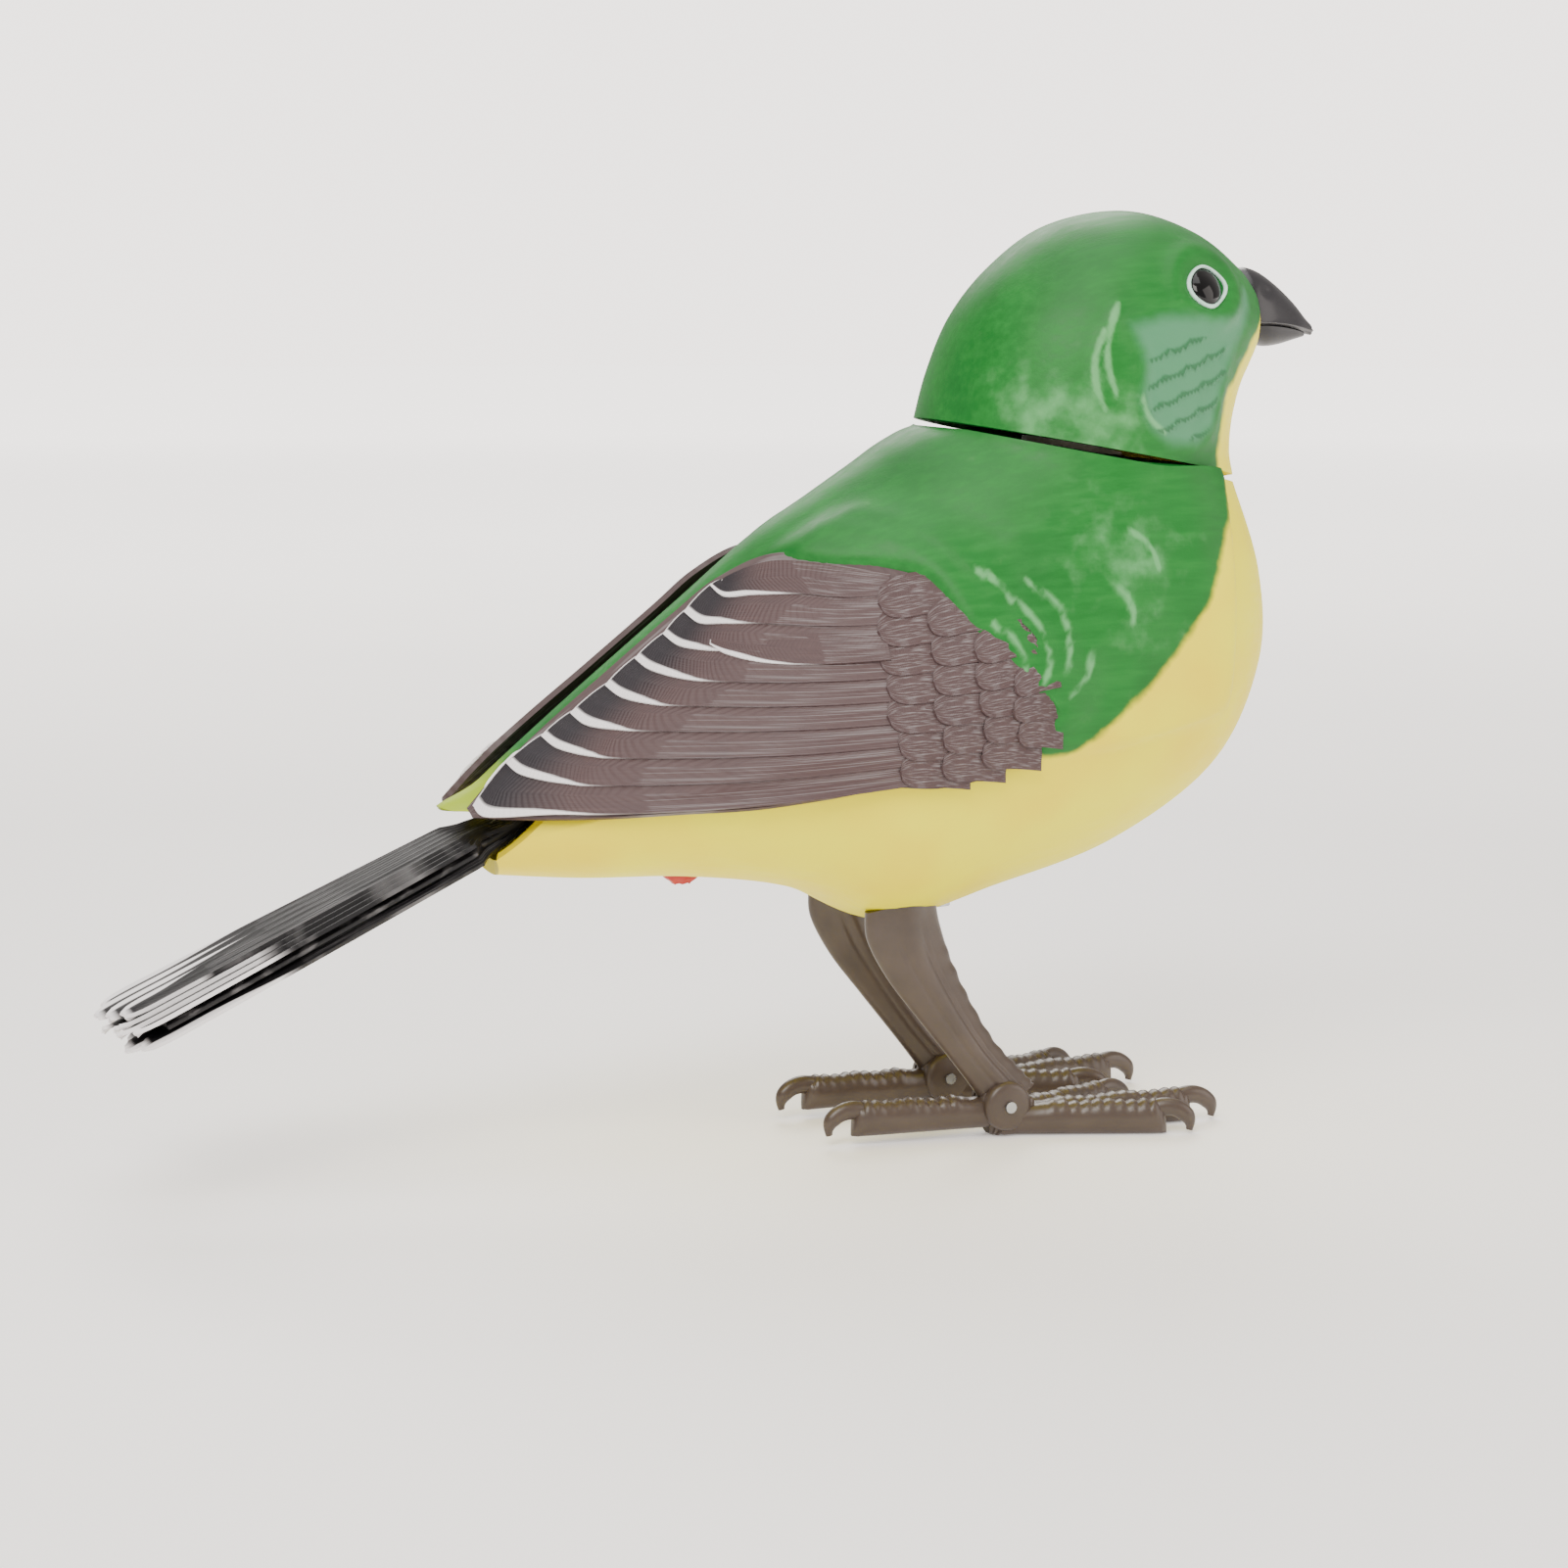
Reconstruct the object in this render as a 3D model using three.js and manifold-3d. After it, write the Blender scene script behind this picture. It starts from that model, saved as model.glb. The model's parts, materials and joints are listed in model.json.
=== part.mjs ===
// A battery-driven singing songbird toy: two-part body and head shells, clip-on wing panels, a head that
// turns on a tilted neck spindle, a lower beak worked by an electromagnet, a tail wagged by a push rod,
// a three-stage gear train, button cells, sound parts and gripping feet.
// Millimetres. +X towards the beak, +Y to the bird's left, +Z up. The origin is on the table, at the
// centre of the object's outline.
import * as THREE from "three";
import { mergeVertices } from "three/addons/utils/BufferGeometryUtils.js";
import Module from "manifold-3d";

const wasm = await Module();
wasm.setup();

// ---------------------------------------------------------------- driving dimensions
const SIDES = { right: -1, left: 1 };
const GAP = 0.3; // between pieces that touch
const RUNNING = 0.08; // radial clearance of a shaft in its hole

const HALF_WIDTH = 24.8; // of the body at its widest
// Body sections from the rump to the neck: back x, back z, belly x, belly z, width as a share of the
// widest, and how far the upper half is drawn in towards a roof ridge.
const BODY_SECTIONS = [
  [-38, 46, -33.2, 37, 0.274, 0.3],
  [-31, 52.1, -22, 36, 0.464, 0.45],
  [-20.5, 60.7, -8, 35.4, 0.669, 0.5],
  [-8, 70.6, 6, 33.2, 0.847, 0.5],
  [2.5, 78.9, 18.5, 28.2, 0.952, 0.4],
  [10.9, 84.1, 34, 31.7, 0.992, 0.25],
  [16.6, 87.6, 50.6, 36.7, 1, 0.12],
  [20.2, 89.9, 65.3, 46.1, 0.984, 0.04],
  [23.1, 91.4, 72.1, 59.2, 0.927, 0],
  [25, 92.3, 72.2, 72, 0.863, 0],
  [26, 92.6, 68.4, 84.5, 0.798, 0],
];
// Head sections from the neck to the face, in the same terms.
const HEAD_SECTIONS = [
  [26, 92.6, 68.4, 84.5, 0.798, 0],
  [27.9, 99.2, 67.8, 87.8, 0.798, 0],
  [31.2, 106.5, 67.9, 90.8, 0.778, 0],
  [36.6, 112.8, 68.4, 93.6, 0.746, 0],
  [44.1, 117.9, 69.2, 96, 0.685, 0],
  [54, 119.7, 70.3, 98, 0.581, 0],
  [62.6, 117.5, 71.2, 99.2, 0.444, 0],
  [69, 113.5, 71.9, 100, 0.306, 0],
  [72, 110.8, 72.2, 100.6, 0.218, 0],
];
const sized = (rows) => rows.map(([tx, tz, bx, bz, share, roof]) => [tx, tz, bx, bz, share * HALF_WIDTH, roof]);
const BODY = sized(BODY_SECTIONS);
const HEAD = sized(HEAD_SECTIONS);
const BODY_LEAN = 0.1; // how far the widest level sits below the middle of a section
const HEAD_LEAN = 0.04;
const SHELL_WALL = 1.8;
const RING_SIDES = 28;
const BODY_RINGS = 15;
const HEAD_RINGS = 13;

const NECK_SEAM = 1; // open line between body and head
const DECK = 2; // floor moulded across the top of the body shells
const BUSH_BORE = 4.1;
const BUSH_WALL = 1.2;
const BUSH_FLANGE = 1.4;
const SPINDLE_WALL = 1.4;
const SPINDLE_FLANGE = 1.6;
const RIM_GROOVE = 0.8; // depth that the spindle's flange reaches into the head shells

// Gear train, in the neck's frame: +z up the neck, origin at the middle of the neck seam.
const MODULE = 0.5;
const CRANK_TEETH = 40;
const WHEEL_TEETH = 32;
const PINION_TEETH = 10;
const BACKLASH = 0.12;
const CRANK_CENTRE = -14.5; // behind the neck axis
const CRANK_PIN_RADIUS = 5.2; // from the crank's axis
const PIN_R = 1;
const TAIL_OFFSET = 0.6; // offset of the disc that drives the tail rod
const AXLE_R = 1;
const IDLER_2_ANGLE = -52; // direction from the crank axle, degrees
const IDLER_1_ANGLE = 12; // direction from idler axle 2
const MOTOR_ANGLE = 78; // direction from idler axle 1
const PLATE = 1.2;
const TOP_PLATE_Z = -11.6;
const CRANK_Z = [-15.2, -12.9];
const LEVEL_1 = [-17.5, -15.9];
const LEVEL_2 = [-19.8, -18.2];
const ROD_Z = [-20.5, -19.4];
const BASE_Z = -22.2;
const LEVER_Z = [-9.6, -7.8];
const MOTOR_CASE = [12, 10, 15];
const OPEN_PIVOT = 0.4; // end gap of the two crank pins, whose linkages are left open

// Tail.
const TAIL_PIVOT = [-27.5, 45.1];
const TAIL_LENGTH = 59.9; // from pivot to tip
const TAIL_SLOPE = 24.5; // degrees below level
const TAIL_ROOT_WIDTH = 7;
const TAIL_END_WIDTH = 21.4;
const TAIL_THICK = 3.4;
const TAIL_ARM = 4.2;
const SMALL_PIN_R = 0.75;

// Head works.
const BEAK_PIVOT = [67.4, 102.8];
const BEAK_TIP = [82.7, 104.6];
const BEAK_ARM = 10.5;
const EYE_AT = [59, 109.9];
const EYE_R = 2.4;

// Belly.
const CELL_R = 5.8;
const CELL_T = 5.4;
const CELLS = ["rear", "middle", "front"];
const CELL_START = 26.7;
const CELL_Z = 42.2;
const TRAY_WALL = 0.8;
const DOOR_X = [25.6, 46.6];
const DOOR_HALF = 7.2;
const SCREW_R = 1;
const SCREW_HEAD_R = 1.9;
const SHELL_SCREWS = { rear: [-16.5, 49.6], middle: [9, 77.4], front: [22.5, 56.5] };
const BOSS_R = 2.7;
const BOARD = [-17, 9, 43.4, 9.5]; // x from, x to, z of the underside, half width
const BOARD_T = 1.2;
const SWITCH_AT = [-7.8, 0];
const SWITCH_TRAVEL = 2;
const SPEAKER_AT = [58.2, 46.4];
const SPEAKER_R = 8.6;
const SPEAKER_T = 3.4;
const SPEAKER_TILT = 33; // how far the speaker faces forward from straight down, degrees

// Legs.
const LEG_Y = 9.5;
const LEG_PEG = [16.2, 21.4, 4.6]; // x from, x to, width across y
const LEG_PEG_TOP = 38.5;
const SOCKET_WALL = 1.6;
const TOE_PIVOT = [33.2, 4];
const SOLE_WIDTH = 4.6;

// ---------------------------------------------------------------- materials
function finish(color, roughness, metalness = 0) {
  return new THREE.MeshStandardMaterial({ color, roughness, metalness });
}
const green = finish(0x3f9a46, 0.5);
const brown = finish(0x6a5b5c, 0.6);
const black = finish(0x232325, 0.35);
const horn = finish(0x5f5147, 0.4);
const red = finish(0xcc2413, 0.35);
const yellow = finish(0xf0e436, 0.45);
const steel = finish(0xb9bcc0, 0.3, 1);
const brass = finish(0xc9a24a, 0.35, 1);
const copper = finish(0xb3541e, 0.35, 0.8);
const natural = finish(0xe9e6da, 0.5);
const board = finish(0x1d6b3c, 0.5);

// ---------------------------------------------------------------- shape helpers
const v3 = (x, y, z) => new THREE.Vector3(x, y, z);
const rad = THREE.MathUtils.degToRad;
const mid = (pair) => (pair[0] + pair[1]) / 2;

// A value list or a point list, run through smoothly; t from 0 to 1 over the whole list.
function along(list, t) {
  const last = list.length - 1;
  const at = Math.min(Math.max(t, 0), 1) * last;
  const i = Math.min(Math.floor(at), last - 1);
  const u = at - i;
  const pick = (k) => list[Math.min(Math.max(k, 0), last)];
  const [a, b, c, d] = [pick(i - 1), pick(i), pick(i + 1), pick(i + 2)];
  const mix = (p, q, r, s) =>
    0.5 * (2 * q + (r - p) * u + (2 * p - 5 * q + 4 * r - s) * u * u + (3 * q - p - 3 * r + s) * u ** 3);
  return b.map((_, k) => mix(a[k], b[k], c[k], d[k]));
}

function toSolid(geometry) {
  const bare = geometry.clone();
  bare.deleteAttribute("normal");
  bare.deleteAttribute("uv");
  const merged = mergeVertices(bare, 1e-4);
  const build = (triVerts) =>
    new wasm.Manifold(new wasm.Mesh({ numProp: 3, vertProperties: merged.attributes.position.array, triVerts }));
  const made = build(new Uint32Array(merged.index.array));
  if (made.volume() > 0) return made;
  return build(new Uint32Array(merged.index.array).reverse());
}

function toGeometry(solid) {
  const m = solid.getMesh();
  const xyz = new Float32Array(m.numVert * 3);
  for (let i = 0; i < m.numVert; i++) xyz.set(m.vertProperties.subarray(i * m.numProp, i * m.numProp + 3), i * 3);
  return new THREE.BufferGeometry()
    .setAttribute("position", new THREE.BufferAttribute(xyz, 3))
    .setIndex(new THREE.BufferAttribute(m.triVerts, 1));
}

// Closed rings of points, joined in order and capped at both ends.
function loft(rings) {
  const n = rings[0].length;
  const xyz = rings.flat().flatMap((p) => [p.x, p.y, p.z]);
  const index = [];
  for (let r = 0; r + 1 < rings.length; r++) {
    for (let i = 0; i < n; i++) {
      const a = r * n + i;
      const b = r * n + ((i + 1) % n);
      index.push(a, b, b + n, a, b + n, a + n);
    }
  }
  for (const [ring, first, flip] of [
    [rings[0], 0, true],
    [rings.at(-1), (rings.length - 1) * n, false],
  ]) {
    const middle = ring.reduce((s, p) => s.clone().add(p), v3(0, 0, 0)).divideScalar(n);
    const m = xyz.length / 3;
    xyz.push(middle.x, middle.y, middle.z);
    for (let i = 0; i < n; i++) {
      const a = first + i;
      const b = first + ((i + 1) % n);
      index.push(...(flip ? [m, b, a] : [m, a, b]));
    }
  }
  return new THREE.BufferGeometry()
    .setAttribute("position", new THREE.Float32BufferAttribute(xyz, 3))
    .setIndex(index);
}

function box(x, y, z) {
  return new THREE.BoxGeometry(x[1] - x[0], y[1] - y[0], z[1] - z[0]).translate(mid(x), mid(y), mid(z));
}

// A round bar between two points.
function bar(from, to, radius, sides = 16, endRadius = radius) {
  const way = to.clone().sub(from);
  const turn = new THREE.Quaternion().setFromUnitVectors(v3(0, 1, 0), way.clone().normalize());
  return new THREE.CylinderGeometry(endRadius, radius, way.length(), sides)
    .applyQuaternion(turn)
    .translate(...from.clone().add(to).divideScalar(2).toArray());
}

const upright = (x, y, z, radius, sides = 18) => bar(v3(x, y, z[0]), v3(x, y, z[1]), radius, sides);
const crosswise = (x, z, y, radius, sides = 12) => bar(v3(x, y[0], z), v3(x, y[1], z), radius, sides);

// A flat plate with holes: outline points and round holes [x, y, radius] in plan.
function plate(outline, z, holes = []) {
  const shape = new THREE.Shape(outline.map(([x, y]) => new THREE.Vector2(x, y)));
  for (const [x, y, r] of holes) shape.holes.push(new THREE.Path().absarc(x, y, r, 0, Math.PI * 2, true));
  const flat = new THREE.ExtrudeGeometry(shape, { depth: z[1] - z[0], bevelEnabled: false, curveSegments: 7 });
  return flat.translate(0, 0, z[0]);
}

const cut = (solid, ...tools) => tools.reduce((s, t) => s.subtract(t.volume ? t : toSolid(t)), solid);
const join = (...parts) =>
  parts.map((p) => (p.volume ? p : toSolid(p))).reduce((s, t) => s.add(t));

// ---------------------------------------------------------------- the two egg-shaped shells
// Width of a section, as a share of its widest, at height s from -1 (belly) to 1 (back).
function widthShare(s, lean, roof) {
  const c = Math.sqrt(Math.max(0, 1 - s * s));
  const drawn = s > 0 ? (1 - roof) * c + roof * (1 - s) : c;
  return drawn * (1 - lean * s);
}

function section(station, lean, inset) {
  const [tx, tz, bx, bz, w, roof] = station;
  const half = Math.hypot(tx - bx, tz - bz) / 2;
  const k = 1 - inset / half;
  const ring = [];
  for (let i = 0; i < RING_SIDES; i++) {
    const a = (i / RING_SIDES) * Math.PI * 2;
    const s = Math.sin(a);
    const y = (w - inset) * widthShare(s, lean, roof) * Math.sign(Math.cos(a));
    ring.push(v3((tx + bx) / 2 + ((tx - bx) / 2) * s * k, y, (tz + bz) / 2 + ((tz - bz) / 2) * s * k));
  }
  return ring;
}

function eggRings(stations, lean, count, inset, from = 0, to = 1) {
  return Array.from({ length: count }, (_, i) => section(along(stations, from + ((to - from) * i) / (count - 1)), lean, inset));
}

// Half width of a shell's surface at a place seen from the side, and 0 outside its outline.
function halfWidthAt(stations, lean, x, z) {
  let [lo, hi] = [0, 1];
  const side = (t) => {
    const [tx, tz, bx, bz] = along(stations, t);
    return (tx - bx) * (z - bz) - (tz - bz) * (x - bx);
  };
  if (side(0) > 0 || side(1) < 0) return 0;
  for (let i = 0; i < 24; i++) {
    const t = (lo + hi) / 2;
    if (side(t) > 0) hi = t;
    else lo = t;
  }
  const [tx, tz, bx, bz, w, roof] = along(stations, (lo + hi) / 2);
  const s = (2 * ((x - bx) * (tx - bx) + (z - bz) * (tz - bz))) / ((tx - bx) ** 2 + (tz - bz) ** 2) - 1;
  return Math.abs(s) >= 1 ? 0 : w * widthShare(s, lean, roof);
}

// The neck's frame: origin at the middle of the seam, +z along the neck.
const neckRing = BODY.at(-1);
const neckAt = v3((neckRing[0] + neckRing[2]) / 2, 0, (neckRing[1] + neckRing[3]) / 2);
const neckTilt = Math.atan2(neckRing[1] - neckRing[3], neckRing[2] - neckRing[0]);
const neckHalf = Math.hypot(neckRing[0] - neckRing[2], neckRing[1] - neckRing[3]) / 2;
const neckMatrix = new THREE.Matrix4().makeRotationY(neckTilt).setPosition(neckAt);
const inNeck = (geometry) => geometry.clone().applyMatrix4(neckMatrix);
const neckPoint = (x, y, z) => v3(x, y, z).applyMatrix4(neckMatrix);
const neckUp = v3(Math.sin(neckTilt), 0, Math.cos(neckTilt));

const shifted = (ring, way) => ring.map((p) => p.clone().addScaledVector(neckUp, way));

function bodyWall() {
  const outer = eggRings(BODY, BODY_LEAN, BODY_RINGS, 0);
  outer[outer.length - 1] = shifted(outer.at(-1), -NECK_SEAM / 2);
  const inner = eggRings(BODY, BODY_LEAN, BODY_RINGS, SHELL_WALL);
  const mouth = inner[0].map((p) => p.clone().add(v3(-6, 0, -0.6)));
  const underDeck = toSolid(inNeck(box([-99, 60], [-60, 60], [-160, -NECK_SEAM / 2 - DECK])));
  return { outer: toSolid(loft(outer)), inner: toSolid(loft([mouth, ...inner])).intersect(underDeck) };
}

function headWall() {
  const outer = eggRings(HEAD, HEAD_LEAN, HEAD_RINGS, 0);
  outer[0] = shifted(outer[0], NECK_SEAM / 2);
  const inner = eggRings(HEAD, HEAD_LEAN, HEAD_RINGS, SHELL_WALL);
  const floor = shifted(inner[0], -NECK_SEAM);
  const face = inner.at(-1).map((p) => p.clone().add(v3(4, 0, 0)));
  return { outer: toSolid(loft(outer)), inner: toSolid(loft([floor, ...inner.slice(1), face])) };
}

const halfSpace = (side) => box([-200, 200], side > 0 ? [0, 60] : [-60, 0], [-10, 200]);

// ---------------------------------------------------------------- places shared by several pieces
const pitch = (teeth) => (MODULE * teeth) / 2;
const polar = (from, length, degrees) => [
  from[0] + length * Math.cos(rad(degrees)),
  from[1] + length * Math.sin(rad(degrees)),
];
const crankAt = [CRANK_CENTRE, 0];
const idler2At = polar(crankAt, pitch(CRANK_TEETH) + pitch(PINION_TEETH), IDLER_2_ANGLE);
const idler1At = polar(idler2At, pitch(WHEEL_TEETH) + pitch(PINION_TEETH), IDLER_1_ANGLE);
const motorAt = polar(idler1At, pitch(WHEEL_TEETH) + pitch(PINION_TEETH), MOTOR_ANGLE);
const baseZ = [BASE_Z, BASE_Z + PLATE];
const topZ = [TOP_PLATE_Z, TOP_PLATE_Z + PLATE];
const POSTS = [
  [-22.6, -9.6],
  [-22.6, 9.6],
  [8.6, -16.6],
  [13.8, 7.2],
];
const POST_R = 1.6;
const RAIL_X = [-9, -1];
const BASE_EDGE = 17.5;
const trayX = [CELL_START - 2.2 - TRAY_WALL, CELL_START + CELLS.length * CELL_T + 1.3 + TRAY_WALL];
const trayHalf = CELL_R + GAP + TRAY_WALL;
const trayZ = [CELL_Z - CELL_R + 2.8, CELL_Z + CELL_R + GAP + TRAY_WALL];

// ---------------------------------------------------------------- body shells
const speakerWay = v3(Math.sin(rad(SPEAKER_TILT)), 0, -Math.cos(rad(SPEAKER_TILT)));
const speakerFace = v3(SPEAKER_AT[0], 0, SPEAKER_AT[1]);
const speakerPoint = (depth) => speakerFace.clone().addScaledVector(speakerWay, -depth);

function speakerHoles() {
  const across = v3(Math.cos(rad(SPEAKER_TILT)), 0, Math.sin(rad(SPEAKER_TILT)));
  const holes = [];
  for (const [u, y] of [
    [4, 2.4],
    [0, 4.6],
    [-4, 2.4],
  ]) {
    for (const side of Object.values(SIDES)) {
      const start = speakerPoint(-0.2).addScaledVector(across, u).add(v3(0, side * y, 0));
      holes.push(bar(start, start.clone().addScaledVector(speakerWay, 12), 0.8, 8));
    }
  }
  return holes;
}

function doorCut(clearance) {
  return box(
    [DOOR_X[0] - clearance, DOOR_X[1] + clearance],
    [-DOOR_HALF - clearance, DOOR_HALF + clearance],
    [10, trayZ[0] - GAP],
  );
}

function bodyShell(name, wall) {
  const side = SIDES[name];
  const across = (a, b) => (side > 0 ? [a, b] : [-b, -a]);
  const lumps = [
    ...Object.values(SHELL_SCREWS).map(([x, z]) => crosswise(x, z, across(0, 40), BOSS_R)),
    box([-5, 1], across(BOARD[3] - 1.6, 40), [BOARD[2] - 1.8, BOARD[2] + BOARD_T + 1.8]),
    inNeck(box(RAIL_X, across(BASE_EDGE - 1.4, 40), [BASE_Z - 2, BASE_Z + PLATE + 2])),
    box(
      [LEG_PEG[0] - GAP - SOCKET_WALL, LEG_PEG[1] + GAP + SOCKET_WALL],
      across(LEG_Y - LEG_PEG[2] / 2 - GAP - SOCKET_WALL, LEG_Y + LEG_PEG[2] / 2 + GAP + SOCKET_WALL),
      [24, LEG_PEG_TOP + GAP + SOCKET_WALL],
    ),
    box([TAIL_PIVOT[0] - 2, TAIL_PIVOT[0] + 2], across(TAIL_ROOT_WIDTH / 2 + GAP, 30), [TAIL_PIVOT[1] - 2, TAIL_PIVOT[1] + 2]),
    box([speakerPoint(2).x - 2.5, speakerPoint(2).x + 2.5], across(SPEAKER_R - 0.8, 40), [speakerPoint(2).z - 2.5, speakerPoint(2).z + 2.5]),
  ];
  const inside = lumps.map((g) => toSolid(g).intersect(wall.outer));
  let shell = join(wall.outer.subtract(wall.inner), ...inside);
  const slots = [
    box([-30, 30], across(0, BOARD[3] + GAP), [BOARD[2] - GAP, BOARD[2] + BOARD_T + GAP]),
    inNeck(box([-26, 19], across(0, BASE_EDGE + GAP), [BASE_Z - GAP, BASE_Z + PLATE + GAP])),
    box(
      [LEG_PEG[0] - GAP, LEG_PEG[1] + GAP],
      across(LEG_Y - LEG_PEG[2] / 2 - GAP, LEG_Y + LEG_PEG[2] / 2 + GAP),
      [10, LEG_PEG_TOP + GAP],
    ),
    crosswise(TAIL_PIVOT[0], TAIL_PIVOT[1], across(0, 5.6 + GAP), SMALL_PIN_R + GAP / 2),
    bar(speakerPoint(-GAP), speakerPoint(SPEAKER_T + GAP), SPEAKER_R + GAP, 28),
    inNeck(upright(0, 0, [-12, 3], BUSH_BORE + BUSH_WALL + GAP, 28)),
    doorCut(GAP),
    box([SWITCH_AT[0] - 2.6 - GAP, SWITCH_AT[0] + 2.6 + SWITCH_TRAVEL + GAP], [-1.3 - GAP, 1.3 + GAP], [30, 42]),
    ...speakerHoles(),
    ...Object.values(SHELL_SCREWS).map(([x, z]) =>
      side > 0
        ? crosswise(x, z, [-1, 40], SCREW_R + GAP / 2)
        : crosswise(x, z, [-7.5, 1], SCREW_R + GAP / 2),
    ),
    ...(side > 0 ? Object.values(SHELL_SCREWS).map(([x, z]) => crosswise(x, z, [6, 40], SCREW_HEAD_R + GAP)) : []),
    ...wingPegs(name).map((p) => bar(p.from, p.to, WING_PEG_R + GAP, 14)),
  ];
  slots.push(wingPanel(side, GAP, 4));
  slots.push(box([TAIL_PIVOT[0] - 12, TAIL_PIVOT[0] - 5.5], across(0, TAIL_ROOT_WIDTH / 2 + 1.5), [TAIL_PIVOT[1] - 6.4, TAIL_PIVOT[1] - 0.3])); // room for the tail to wag
  if (side < 0) slots.push(upright(3.5, -4, [20, 42], 0.6, 10));
  shell = cut(shell, ...slots).intersect(toSolid(halfSpace(side)));
  return biggest(shell);
}

// The largest separate body, which drops slivers that a slot leaves behind.
function biggest(solid) {
  return solid.decompose().reduce((a, b) => (b.volume() > a.volume() ? b : a));
}

// ---------------------------------------------------------------- wings
// Wing outline from the tip forward, as [x, half distance between wings, z].
const WING_UPPER = [
  [-38, 4.6, 46.3],
  [-32.8, 4, 51.6],
  [-26.6, 3.7, 56.8],
  [-19.4, 3.5, 62.4],
  [-10.2, 3.5, 69.6],
  [-4.3, 4.2, 74],
  [3, 6.4, 76.9],
  [12, 13.4, 75.7],
  [20.1, 18, 72.8],
  [28, 22, 63.3],
];
const WING_LOWER = [
  [-37.6, 5.6, 45.2],
  [-31, 9.5, 45.2],
  [-23, 14, 45.6],
  [-14.4, 18, 46.3],
  [-6, 21, 46.8],
  [2, 23, 47.8],
  [10, 24, 48.8],
  [18, 24.5, 48.5],
  [26, 24.5, 50.6],
  [32.4, 24.5, 57.4],
];
const WING_GAP = 0.4;
const WING_THICK = 2.2;
const WING_STEPS = [14, 6];
const WING_PEGS = [
  [0.48, 0.55],
  [0.84, 0.45],
]; // places on the panel: along it, and down from its upper edge
const WING_PEG_R = 1.4;

function wingPoint(t, s, raise, side) {
  const [ux, uy, uz] = along(WING_UPPER, t);
  const [lx, ly, lz] = along(WING_LOWER, t);
  const x = ux + (lx - ux) * s;
  const z = uz + (lz - uz) * s;
  const own = uy + (ly - uy) * s;
  const under = Math.max(own, halfWidthAt(BODY, BODY_LEAN, x, z) + WING_GAP);
  return v3(x, side * (under + raise), z);
}

// A closed panel between an inner and an outer grid of points.
function wingPanel(side, under = 0, over = 0) {
  const [nt, ns] = WING_STEPS;
  const rings = [];
  for (let i = 0; i <= nt; i++) {
    const t = i / nt;
    const edge = Math.min(1, 0.35 + 4 * Math.min(t, 1 - t));
    const inner = [];
    const outer = [];
    for (let j = 0; j <= ns; j++) {
      const s = (j / ns) ** 1.3;
      const full = WING_THICK * (0.45 + 0.55 * edge * Math.min(1, 0.3 + 3.2 * Math.min(s, 1 - s)));
      inner.push(wingPoint(t, s, -under, side));
      outer.push(wingPoint(t, s, full + over, side));
    }
    rings.push([...outer, ...inner.reverse()]);
  }
  return toSolid(loft(rings));
}

function wingPegs(name) {
  const side = SIDES[name];
  return WING_PEGS.map(([t, s]) => {
    const from = wingPoint(t, s, WING_THICK / 2, side);
    const y = halfWidthAt(BODY, BODY_LEAN, from.x, from.z) - 4;
    return { from, to: v3(from.x, side * y, from.z) };
  });
}

const wing = (name) => join(wingPanel(SIDES[name]), ...wingPegs(name).map((p) => bar(p.from, p.to, WING_PEG_R, 14)));

// ---------------------------------------------------------------- head
const MOUTH = [63, 78, 3.4, 98.6, 110.4]; // opening in the face: x from, x to, half width, z from, z to

function headShell(name, wall) {
  const side = SIDES[name];
  const across = (a, b) => (side > 0 ? [a, b] : [-b, -a]);
  const rails = [
    box([57, 60], across(MOUTH_FRAME_HALF - 1.6, 30), [MOUTH_BRIDGE[0] - 1.6, MOUTH_BRIDGE[1] + 1.6]),
    crosswise(40, 108, across(0, 30), BOSS_R - 0.7),
  ].map((g) => toSolid(g).intersect(wall.outer));
  const rim = spindleFlange(RIM_GROOVE + GAP, [SPINDLE_Z[0] - GAP, SPINDLE_Z[1] + GAP]);
  const shell = cut(
    join(wall.outer.subtract(wall.inner), ...rails),
    rim,
    box([50, 70], across(0, MOUTH_FRAME_HALF + GAP), [MOUTH_BRIDGE[0] - GAP, MOUTH_BRIDGE[1] + GAP]),
    box([MOUTH[0], MOUTH[1]], [-MOUTH[2], MOUTH[2]], [MOUTH[3], MOUTH[4]]),
    bar(eyeAt(side, -4), eyeAt(side, 3), EYE_R * 0.55 + GAP, 16),
    bar(eyeAt(side, EYE_SEAT - GAP), eyeAt(side, 3), EYE_R + GAP, 20),
  ).intersect(toSolid(halfSpace(side)));
  return biggest(shell);
}

// The head's floor: a slice of the head's own outline, reaching a given depth into the shell wall.
const SPINDLE_Z = [NECK_SEAM / 2 + 1, NECK_SEAM / 2 + 1 + SPINDLE_FLANGE];
function spindleFlange(depth, z) {
  const core = toSolid(loft(eggRings(HEAD, HEAD_LEAN, HEAD_RINGS, SHELL_WALL - depth)));
  return core.intersect(toSolid(inNeck(box([-60, 60], [-60, 60], z))));
}

const EYE_SEAT = -1;
function eyeAt(side, out) {
  const y = halfWidthAt(HEAD, HEAD_LEAN, EYE_AT[0], EYE_AT[1]);
  const step = 0.5;
  const dx = halfWidthAt(HEAD, HEAD_LEAN, EYE_AT[0] + step, EYE_AT[1]) - y;
  const dz = halfWidthAt(HEAD, HEAD_LEAN, EYE_AT[0], EYE_AT[1] + step) - y;
  const way = v3(-dx / step, side, -dz / step).normalize();
  return v3(EYE_AT[0], side * y, EYE_AT[1]).addScaledVector(way, out);
}

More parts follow.
